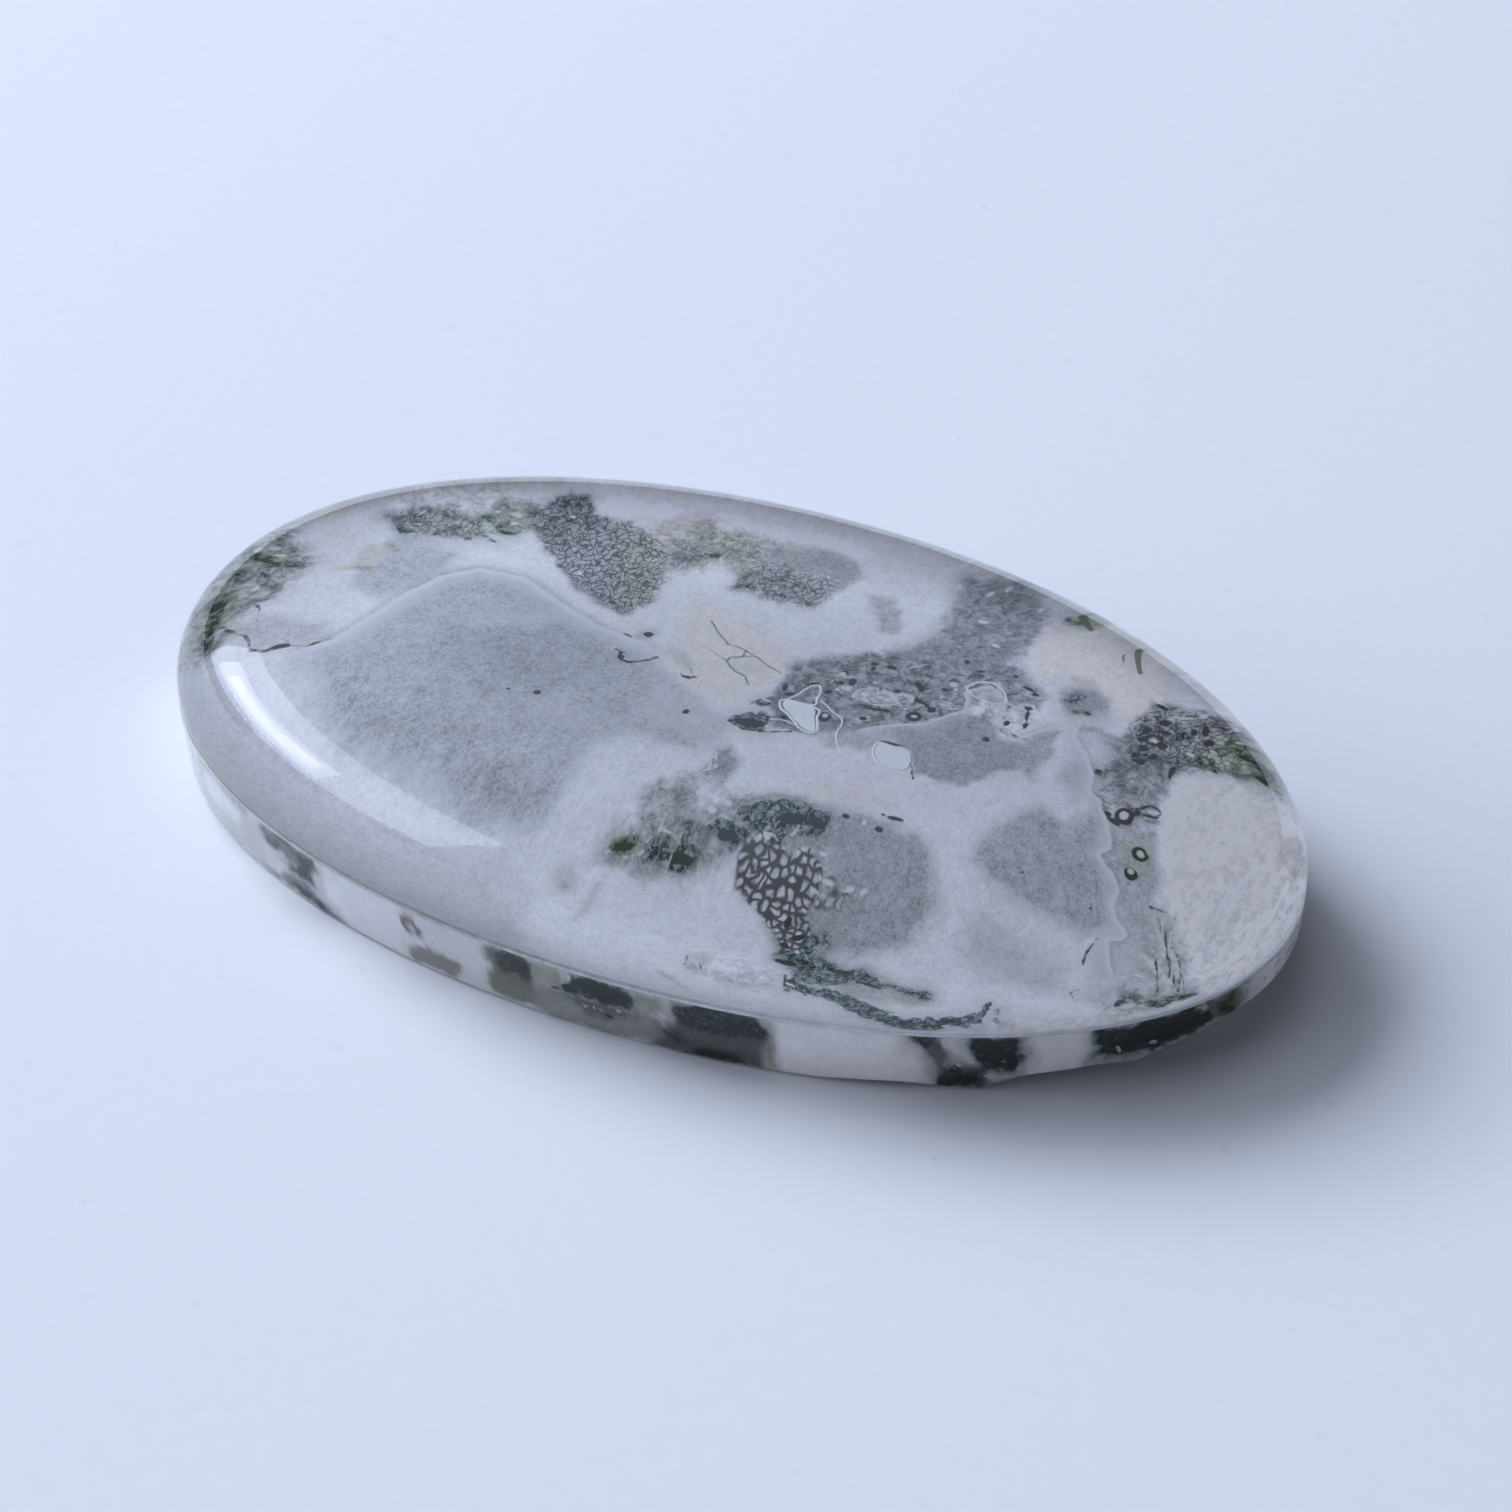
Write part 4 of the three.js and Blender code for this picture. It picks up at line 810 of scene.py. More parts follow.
WALL_MOSS = [
    [(-12.95, 1.9), (-12.3, 2.1), (-12.0, 1.8), (-12.6, 1.62)],
    [(-12.2, 2.4), (-11.5, 2.48), (-11.4, 2.2), (-12.0, 2.3)],
    [(-11.7, 1.15), (-11.3, 1.7), (-11.2, 2.2), (-10.4, 2.2), (-10.3, 1.9), (-10.7, 1.5), (-10.5, 1.2),
     (-11.0, 1.1)],
    [(-11.9, 0.4), (-11, 0.6), (-10.3, 0.5), (-9.5, 0.2), (-11.2, 0.2)],
    [(-2.3, 1.42), (-2.35, 2.1), (-2.0, 2.4), (-1.15, 2.42), (-1.1, 1.8), (-1.2, 1.42), (-1.9, 1.35)],
    [(-0.1, 1.55), (0.3, 1.9), (0.6, 2.35), (1.4, 2.42), (2.5, 2.32), (2.68, 2.0), (2.62, 1.55),
     (2.0, 1.35), (1.2, 1.42), (0.3, 1.38)],
    [(3.95, 1.7), (4.2, 2.15), (4.8, 2.42), (6.7, 2.38), (7.15, 2.0), (7.1, 1.5), (6.0, 1.38), (4.6, 1.35)],
    [(3.6, 0.8), (4.2, 1.0), (4.6, 0.7), (4.1, 0.55)],
    [(4.5, 0.05), (4.7, 0.45), (5.4, 0.65), (6.2, 0.5), (6.6, 0.05)],
    [(11.7, 2.45), (11.9, 2.15), (12.3, 1.9), (12.7, 2.1), (12.7, 2.45)],
    [(12.7, 0.2), (12.8, 0.8), (13.3, 1.15), (13.7, 0.9), (14.1, 0.8), (14.4, 0.25)],
    [(13.6, 2.4), (13.9, 2.0), (14.1, 1.5), (14.1, 1.1), (14.5, 0.95), (15.2, 0.85), (15.6, 1.2),
     (15.5, 2.2), (15.3, 2.45)],
    [(17.8, 2.42), (18.0, 1.2), (18.6, 1.0), (19.4, 1.1), (20.0, 1.0), (20.6, 1.15), (22.1, 1.35),
     (22.2, 1.7), (21.5, 2.0), (21.4, 2.45)],
    [(22.4, 2.0), (22.75, 2.3), (22.85, 1.95), (23.3, 1.6), (23.6, 1.35), (23.4, 1.28), (22.8, 1.4),
     (22.5, 1.75)],
]

WALL_INK = blobs([
    (-5.0, 1.5, 0.12, 0.07, 30), (-0.5, 1.45, 0.5, 0.05), (0.3, 1.65, 0.3, 0.14), (1.6, 1.9, 0.9, 0.36),
    (5.4, 0.3, 0.7, 0.2), (13.6, 0.5, 0.5, 0.2), (20.2, 1.7, 1.9, 0.35, 3), (15.3, 1.5, 0.14, 0.5),
    (23.0, 1.6, 0.1, 0.35, 35), (-1.5, 2.0, 0.3, 0.25), (14.6, 1.9, 0.4, 0.3), (-11.9, 2.36, 0.4, 0.05, -5),
    (-10.8, 0.35, 0.5, 0.1), (22.9, 2.05, 0.07, 0.2, -20), (0.9, 1.0, 0.2, 0.08), (1.9, 0.95, 0.2, 0.07),
])

WALL_FLECKS = blobs([
    (0.9, 1.05, 0.12, 0.1), (1.25, 1.15, 0.1, 0.08), (1.7, 1.15, 0.13, 0.09), (2.1, 1.2, 0.16, 0.07, 20),
    (0.4, 2.1, 0.14, 0.2, 20), (13.1, 2.2, 0.3, 0.12, -50), (13.6, 1.7, 0.35, 0.13, -45),
    (13.5, 1.1, 0.2, 0.1, 45), (18.65, 1.35, 0.24, 0.08, -55), (20.05, 1.3, 0.16, 0.09),
    (14.8, 0.65, 0.6, 0.1, 3), (15.0, 1.4, 0.1, 0.14), (3.7, 1.5, 0.4, 0.09, -25), (21.7, 2.2, 0.2, 0.1),
])

WALL_GREEN = [
    (0.3, 0.5, ring(5.4, 2.0, 1.3, 0.4)), (0.7, 0.5, ring(-1.9, 0.9, 1.2, 0.7)),
    (0.6, 0.5, ring(-0.4, 1.9, 0.6, 0.6)), (0.4, 0.5, ring(-11, 2.0, 0.8, 0.5)),
    (0.5, 0.5, ring(3.2, 1.9, 0.6, 0.5)), (0.9, 0.6, ring(22.8, 1.8, 1.0, 0.6)),
]

FACE_GREEN = [
    (1.0, 0.3, ring(0.05, -6.27, 0.6, 0.22)), (0.7, 0.4, ring(1.8, -6.0, 0.9, 0.25)),
    (0.4, 0.5, ring(7.1, -7.7, 0.9, 0.5)), (1.0, 0.5, ring(-18.2, -1.2, 0.5, 1.0, 15)),
    (0.8, 0.5, ring(-18.2, 1.2, 0.9, 0.4)), (0.8, 0.5, ring(16.2, 5.0, 1.2, 0.5, -35)),
    (0.8, 0.4, ring(15.6, 4.1, 0.6, 0.3)), (0.6, 0.5, ring(17.8, -4.7, 1.2, 0.5, 25)),
    (0.5, 0.6, ring(-12.5, 6.0, 2.0, 0.8, 20)), (0.7, 0.4, ring(-3.6, 8.9, 0.8, 0.3, -20)),
    (0.6, 0.4, ring(15, -0.7, 0.5, 0.6)),
]


def lay_marks(face, stains, moss, ink, flecks, green, straight=None):
    """The pattern at each point of a face, as the values that the agate's material reads. The small
    marks keep their outlines if a face that wanders less is given for them."""
    straight = straight or face
    tone = np.full(len(face.x), 0.66)
    warm = np.zeros(len(face.x))
    tint = np.zeros(len(face.x))
    for level, warmth, greenness, edge, outline in stains:
        cover = face.soft([(1.0, edge, outline)])
        tone += (level - tone) * cover
        warm += (warmth - warm) * cover
        tint += (greenness - tint) * cover
    return {
        "tone": tone, "warm": warm, "green": np.maximum(tint * 0.6, face.soft(green)),
        "moss": face.sharp(moss), "ink": straight.sharp(ink), "fleck": straight.sharp(flecks),
    }


def line_gap(x, y, lines):
    """How deep each point lies inside the nearest of several thin lines, in millimetres."""
    deep = np.full(len(x), -1.0)
    for half_width, points in lines:
        for (ax, ay), (bx, by) in zip(points, points[1:]):
            ex, ey = bx - ax, by - ay
            along = np.clip(((x - ax) * ex + (y - ay) * ey) / (ex * ex + ey * ey), 0, 1)
            deep = np.maximum(deep, half_width - np.hypot(x - ax - along * ex, y - ay - along * ey))
    return deep


def face_pattern(x, y, wander=WANDER):
    """The pattern of the slab's face, drawn at x and y."""
    face = Face(x, y, wander)
    straight = Face(x, y, STRAIGHT_WANDER)
    values = lay_marks(face, FACE_STAINS, FACE_MOSS, FACE_INK, FACE_FLECKS, FACE_GREEN, straight)
    values["vein"] = line_gap(x, y, FACE_VEINS)
    values["ink"] = np.maximum(values["ink"], line_gap(straight.x, straight.y, FACE_INK_LINES))
    values["fleck"] = np.maximum(values["fleck"], line_gap(straight.x, straight.y, FACE_PALE_LINES))
    values["busy"] = face.soft(FACE_BUSY)
    values["worm"] = face.soft(FACE_WORMS)
    values["bead"] = face.soft(FACE_BEADS)
    values["frost"] = face.soft(FACE_FROST)
    narrow = 1.0 + 0.7 * np.clip((x - 2.0) / 4.0, 0, 1)  # the pale line is finer at the right
    values["patch"] = straight.depth(DRY_PATCH_EDGE) * narrow
    values["patch_seen"] = face.soft(EDGE_SHOWS)
    values["broken"] = np.zeros(len(x))
    return values


def scoop_height(x, y):
    """The underside's height where a chip is broken from it, 0 elsewhere."""
    height = np.zeros(len(x))
    for (mx, my, mz), (hx, hy, hz) in CHIPS:
        left = 1 - ((x - mx) / hx) ** 2 - ((y - my) / hy) ** 2
        u, v = (x - mx) / hx, (y - my) / hy
        swell = 1 + 0.035 * np.sin(7 * u + 2 * v) * np.cos(6 * v)
        scoop = mz + hz * swell * np.sqrt(np.maximum(left, 0))
        height = np.maximum(height, np.where(left > 0, scoop, 0))
    return height


def nick_depth(x, y, z):
    """How far the wall is set in where a flake has broken from it, under the seam."""
    deepest = 0.22
    (mx, my, mz), (hx, hy, hz) = SEAM_NICK
    share = np.clip(1 - ((y - my) / hy) ** 2 - ((z - mz) / hz) ** 2, 0, 1) * (abs(x - mx) < 2 * hx)
    return deepest * np.sqrt(share)


def flat_net(loop, inner):
    """Triangles over a closed loop of points and the points inside it."""
    points = [Vector((float(x), float(y))) for x, y in zip(*loop)]
    points += [Vector((float(x), float(y))) for x, y in zip(*inner)]
    count = len(loop[0])
    edges = [(i, (i + 1) % count) for i in range(count)]
    places, _, triangles, _, _, _ = delaunay_2d_cdt(points, edges, [], 1, 1e-7)
    assert len(places) == len(points)
    return np.array(triangles)


def even_grid(step, clear, finer=None):
    """Points of a triangular grid inside the outline by a clear distance. Where finer(x, y) holds,
    the points halfway between them are there too."""
    half = step / 2
    row, place = np.meshgrid(np.arange(int(2 * HALF_WIDTH / half / math.sqrt(0.75))),
                             np.arange(int(2 * HALF_LENGTH / half)), indexing="ij")
    x = (place * half + (row % 2) * half / 2 - HALF_LENGTH).ravel()
    y = (row * half * math.sqrt(0.75) - HALF_WIDTH).ravel()
    coarse = ((row % 2 == 0) & ((place - row // 2) % 2 == 0)).ravel()
    inside = (1 - oval_reach(x, y)) * HALF_WIDTH > clear
    x, y, coarse = x[inside], y[inside], coarse[inside]
    keep = coarse | finer(x, y) if finer else coarse
    return x[keep], y[keep]


def near_small_marks(x, y):
    """Whether a point lies near the edge of a dot, a fleck or a thin line."""
    values = face_pattern(x, y)
    return (abs(values["ink"]) < 0.12) | (abs(values["fleck"]) < 0.12) | (abs(values["vein"]) < 0.1)


def wall_inset(z):
    """How far the slab's wall lies inside the outline at a height: its draft, then its round edge."""
    draft = WALL_DRAFT * (SEAM - z) / (SEAM - EDGE_ROUND)
    low = np.clip(1 - z / EDGE_ROUND, 0, 1)
    return np.where(z >= EDGE_ROUND, draft, WALL_DRAFT + EDGE_ROUND * (1 - np.sqrt(1 - low ** 2)))


def slab_wall(angles):
    """The rows of the wall, from the seam down to the underside or to the chip that cuts it."""
    foot_x, foot_y = oval_point(angles, WALL_DRAFT)
    low = scoop_height(foot_x, foot_y)
    rows = []
    for row in range(WALL_ROWS + 1):
        z = SEAM + (low - SEAM) * math.sin(row / WALL_ROWS * math.pi / 2)
        x, y = oval_point(angles, wall_inset(z) + nick_depth(foot_x, foot_y, z))
        rows.append((x, y, z))
    return rows


def slab_pattern(top, wall, under, distance, girth):
    """The pattern's values on the face, the wall and the underside. The wall has its own marks at the
    front. At the back and underneath, the face's marks are carried through the slab."""
    on_face = face_pattern(top[0], top[1])

    along = np.tile(np.where(distance > girth / 2, distance - girth, distance), WALL_ROWS + 1)
    front = Face(along, wall[2], WALL_WANDER, seed=21)
    own = lay_marks(front, WALL_STAINS, WALL_MOSS, WALL_INK, WALL_FLECKS, WALL_GREEN)
    own["vein"] = -1.0
    near_front = np.clip((FRONT_REACH - np.abs(along + 0.5)) / 2.0, 0, 1)
    lean = 0.5 * ripple(along, wall[2], 2.0, 31)
    on_wall = face_pattern(wall[0] * CARRIED + 0.4 * lean, wall[1] * CARRIED + lean, 0.15)
    for name in on_wall:
        on_wall[name] = own.get(name, 0.0) * near_front + on_wall[name] * (1 - near_front)

    drift = 0.6 * ripple(under[0], under[1], 4.0, 41)
    below = face_pattern(under[0] + drift, under[1] - drift, 0.3)
    below["broken"] = np.clip(under[2] / 0.12, 0, 1)

    # the dry patch and the frosted end are at the face alone
    for values in (on_wall, below):
        values["patch"] = np.full(len(values["patch"]), -1.0)
        values["frost"] = np.zeros(len(values["frost"]))
    return on_face, on_wall, below


def agate_slab():
    """The slab as one closed mesh, its pattern stored on the corners of its faces."""
    angles, distance, girth = even_angles(WALL_STEP)
    count = len(angles)

    # the points of the face, the wall and the underside
    outer = oval_point(angles)
    inner = even_grid(FACE_STEP, 0.5 * FACE_STEP, near_small_marks)
    top_faces = flat_net(outer, inner)
    top = np.hstack([outer, inner])
    top = np.vstack([top, np.full(top.shape[1], SEAM)])
    rows = slab_wall(angles)
    wall = np.hstack(rows)
    inner = even_grid(UNDERSIDE_STEP, 0.5 + 0.5 * UNDERSIDE_STEP)
    under_faces = flat_net(rows[-1][:2], inner)[:, ::-1]
    under = np.hstack([rows[-1], [*inner, scoop_height(*inner)]])

    # each sample is a point of one surface, and those at a shared edge share one vertex
    tops, walls = top.shape[1], wall.shape[1]
    vertex = np.concatenate([
        np.arange(tops),
        np.arange(count), tops + np.arange(walls - count),
        tops + walls - 2 * count + np.arange(under.shape[1]),
    ])
    places = np.zeros((vertex.max() + 1, 3))
    places[vertex] = np.hstack([top, wall, under]).T

    here = np.arange(count)
    on = (here + 1) % count
    strips = []
    for row in range(WALL_ROWS):
        above, below = tops + row * count, tops + (row + 1) * count
        strips.append(np.stack([above + here, below + here, below + on], axis=1))
        strips.append(np.stack([above + here, below + on, above + on], axis=1))
    faces = np.concatenate([top_faces, *strips, under_faces + tops + walls])

    mesh = bpy.data.meshes.new("agate")
    mesh.from_pydata((places * MM).tolist(), [], vertex[faces].tolist())
    patterns = slab_pattern(top, wall, under, distance, girth)
    for name in patterns[0]:
        values = np.concatenate([pattern[name] for pattern in patterns])
        stored = mesh.attributes.new(name, "FLOAT", "CORNER")
        stored.data.foreach_set("value", values[faces].ravel().astype(np.float32))
    is_wall = np.arange(len(faces)) >= len(top_faces)
    mesh.materials.append(agate_material("agate_face", under_glass=True))
    mesh.materials.append(agate_material("agate_wall", under_glass=False))
    mesh.polygons.foreach_set("material_index", is_wall.astype(int))
    shade_smoothly(mesh, 32)
    return add_object("agate", mesh)


# Materials

def worms_and_grains(bench, tone, where):
    """Moss crowded into small pale cells between thin dark threads, and small pale and dark grains
    crowded together."""
    winding = bench.bend(bench.place((1.5, 1.0, 1.0), 0.9), 1.5, 1.3)
    to_thread = bench.cells(winding, 2.6, flat=True, measure="DISTANCE_TO_EDGE")
    tone = tone * (1.0 + bench.attribute("worm") * (bench.smooth(to_thread, 0.03, 0.24) - 0.70))
    crowd = bench.noise(where, 2.6, detail=4, roughness=0.6, distortion=0.8)
    return tone * (1.0 + bench.attribute("busy") * (bench.smooth(crowd, 0.32, 0.68) * 1.1 - 0.6))


def bead_tone(bench, blotch):
    """Pale beads packed on dark moss, each with painted shading from its pale middle to the dark gap round
    it.
    """
    uneven = bench.bend(bench.place((1.0, 1.15, 1.0)), 2.5, 0.4)
    to_gap = bench.cells(uneven, 3.3, flat=True, randomness=0.8, measure="DISTANCE_TO_EDGE")
    to_middle = bench.cells(uneven, 3.3, flat=True, randomness=0.8)
    bead = bench.smooth(to_gap, 0.05, 0.36) * (1.0 - bench.smooth(to_middle, 0.30, 0.64))
    return 0.05 + bead * (0.34 + (blotch - 0.5) * 1.2)


def frosted_end(bench, tone, where):
    """A scratched surface, its sparkle painted in as pale glints."""
    sparkle_noise = bench.noise(bench.place((1.0, 0.45, 1.0), 0.35), 4.5, detail=4, roughness=0.8)
    glint = bench.smooth(sparkle_noise, 0.44, 0.58)
    # painted highlight: the pale glints of the sparkle on the frosted end
    tone = tone * (1.0 + bench.attribute("frost") * (glint * 0.34 - 0.31))
    stroke = bench.noise(bench.place((2.4, 0.7, 1.0), 0.5), 1.6, detail=2, roughness=0.6)
    along, _ = bench.x_and_y(where)
    near_rim = bench.smooth(along, 17.0, 19.0)
    return tone * (1.0 - near_rim * bench.smooth(stroke, 0.50, 0.56) * 0.30)


def dry_patch_edge(bench, tone, blotch):
    """A pale line with a soft pale border inside it, and a faint painted shadow outside."""
    patch = bench.attribute("patch") + (blotch - 0.5) * 0.10
    seen = bench.attribute("patch_seen")
    rise = bench.smooth(patch, -0.03, 0.04)
    line = rise * (1.0 - bench.smooth(patch, 0.14, 0.36))
    border = rise * (1.0 - bench.smooth(patch, 0.2, 1.1))
    # painted shadow: a faint dark band just outside the edge
    painted_shadow = bench.smooth(patch, -0.4, -0.05) * (1.0 - rise)
    tone = tone + seen * border * (0.45 - tone) * 0.6
    tone = tone + seen * line * (0.60 - tone) * 0.7
    return tone * (1.0 - seen * painted_shadow * 0.25)


def agate_material(name, under_glass):
    """Moss agate: chalcedony in whites and greys, with moss, inclusions and veins."""
    material, bench = new_material(name)
    where = bench.place()
    cloud = bench.noise(where, 0.9, detail=4, roughness=0.6)
    blotch = bench.noise(where, 2.6, detail=5, roughness=0.65, distortion=0.6)
    grain = bench.noise(where, 6.0, detail=3, roughness=0.65)
    fine = bench.noise(where, 13.0, detail=2, roughness=0.6)
    lumps = 0.48 - bench.cells(where, 3.0)
    ragged = (blotch - 0.5) * 0.25 + lumps * 0.22

    # chalcedony: cloudy and mottled, down to a fine speckle, and smoother on the polished wall
    rough = 1.0 if under_glass else 0.3
    speck = bench.smooth(bench.noise(where, 7.0, detail=2), 0.6, 0.75)
    spots = (blotch - 0.5) * 0.55 + (grain - 0.5) * 0.75 + (fine - 0.5) * 0.8
    mottle = (cloud - 0.5) * 0.32 + spots * rough
    drawn = bench.attribute("tone")
    stronger_in_dark = 1.9 - bench.smooth(drawn, 0.30, 0.43) * 0.9
    tone = drawn * (1.0 + mottle * stronger_in_dark) + speck * (0.06 * rough)
    tone = worms_and_grains(bench, tone, where)

    # moss, in dark flocks with lighter lumps, and its faint grey halo in the stone round it
    near_moss = bench.attribute("moss")
    tone = tone * (1.0 - bench.smooth(near_moss + (blotch - 0.5) * 0.6, -0.8, 0.0) * 0.32)
    edge = (-0.09, 0.07) if under_glass else (-0.16, 0.14)
    moss = bench.smooth(near_moss + ragged, *edge)
    flock = bench.noise(where, 6.5, detail=4, roughness=0.75, distortion=0.8)
    moss_tone = 0.02 + bench.smooth(flock, 0.45, 0.66) * 0.20 + bench.smooth(lumps, 0.0, 0.3) * 0.08
    if not under_glass:
        moss_tone = moss_tone * 0.3 + bench.smooth(cloud, 0.40, 0.62) * 0.012
    tone = tone + moss * (moss_tone - tone)
    beaded = bench.smooth(bench.attribute("bead") + lumps * 0.6, 0.25, 0.8)
    tone = tone + beaded * (bead_tone(bench, blotch) - tone)

    # near-black inclusions, white flecks and olive veins
    ink = bench.smooth(bench.attribute("ink") + ragged * 0.25, -0.03, 0.03)
    tone = tone + ink * ((0.03 if under_glass else 0.015) - tone)
    fleck = bench.smooth(bench.attribute("fleck") + ragged * 0.2, -0.03, 0.03)
    tone = tone + fleck * (0.60 - tone) * 0.8
    vein = bench.smooth(bench.attribute("vein") + (grain - 0.5) * 0.06, -0.03, 0.02)
    tone = tone + vein * (0.10 - tone) * 0.9
    tone = frosted_end(bench, tone, where)
    tone = dry_patch_edge(bench, tone, blotch)

    # the tints: warm or cool stone, bluish moss, olive veins and green
    warm = bench.attribute("warm")
    warm_light = bench.blend(warm, (1.01, 0.99, 1.0, 1.0), (1.055, 0.985, 0.925, 1.0))
    cool_light = bench.blend(-warm, warm_light, (0.97, 0.985, 1.04, 1.0))
    shown = moss * (1.0 - fleck) * (1.0 - beaded)
    moss_tint = (0.84, 1.0, 1.02, 1.0) if under_glass else (0.66, 1.0, 1.0, 1.0)
    dark_moss = bench.blend(shown, cool_light, moss_tint)
    mossy = bench.math("MAXIMUM", vein, bench.smooth(bench.attribute("green"), 0.05, 1.0))
    tint = bench.blend(mossy, dark_moss, (0.80, 0.90, 0.64, 1.0))
    if under_glass:
        # Painted light: under the crystal the face is made paler than the stone's own colour, standing in
        # for light that reaches it only through the crystal
        tone = bench.math("MINIMUM", tone / (0.36 + tone * 0.60), 0.98)

    broken = bench.attribute("broken")
    relief = grain * (0.10 + broken * 1.2) + blotch * (broken * 3.0)
    bench.dress({
        "Base Color": bench.add("ShaderNodeVectorMath", {"operation": "SCALE"}, {0: tint, 3: tone}),
        "Roughness": 0.14 + broken * 0.36 + (grain - 0.5) * 0.06,
        "Normal": bench.bump(0.35, relief),
        "IOR": AGATE_IOR,
        "Specular IOR Level": 0.0 if under_glass else 0.5,
    })
    return material


def crystal_material():
    """Rock crystal: clear, with its own refraction and a trace of absorption."""
    material, bench = new_material("clear_crystal")
    where = bench.place()
    smear = bench.noise(where, 0.5, detail=3, roughness=0.6)
    along, _ = bench.x_and_y(where)
    scuffed = bench.smooth(along, 16.2, 19.0) * 0.03
    polish = bench.noise(where, 0.22, detail=2)
    trace = {"Color": (0.90, 0.94, 0.92, 1.0), "Density": 12.0}
    bench.dress({
        "Base Color": WHITE,
        "Transmission Weight": 1.0,
        "IOR": CRYSTAL_IOR,
        "Roughness": 0.01 + bench.smooth(smear, 0.5, 0.8) * 0.03 + scuffed,
        "Normal": bench.bump(0.5, polish),
    }, volume=bench.add("ShaderNodeVolumeAbsorption", {}, trace))
    return material


def cement_material(name, under_glass):
    """Hardened cement: dull olive grey to whitish along the seam, and white in its bubbles. The whitish
    part at the right also stands in for a painted highlight along the seam.
    """
    material, bench = new_material(name)
    where = bench.place()
    cloud = bench.noise(where, 1.6, detail=4, roughness=0.6)
    if under_glass:
        colour = bench.blend(bench.smooth(cloud, 0.3, 0.7), (0.92, 0.93, 0.94, 1.0), WHITE)
    else:
        along, _ = bench.x_and_y(where)
        patchy = bench.smooth(cloud, 0.35, 0.7)
        left = bench.blend(patchy, (0.40, 0.42, 0.38, 1.0), (0.54, 0.55, 0.52, 1.0))
        # whitish at the right: the cement's colour with a painted highlight of the seam's bright line
        right = bench.blend(patchy, (0.72, 0.73, 0.75, 1.0), (0.88, 0.88, 0.90, 1.0))
        colour = bench.blend(bench.smooth(along + (cloud - 0.5) * 14.0, -4.0, 10.0), left, right)
    bench.dress({"Base Color": colour, "Roughness": 0.4 + cloud * 0.2, "IOR": CEMENT_IOR})
    return material


# The crystal cap, by Geometry Nodes

CAP_SIDES = 288
CAP_RINGS = 96
SEAM_STEP = 0.26  # how far the crystal steps in above the seam, for the cement
CAP_INSET = 0.015


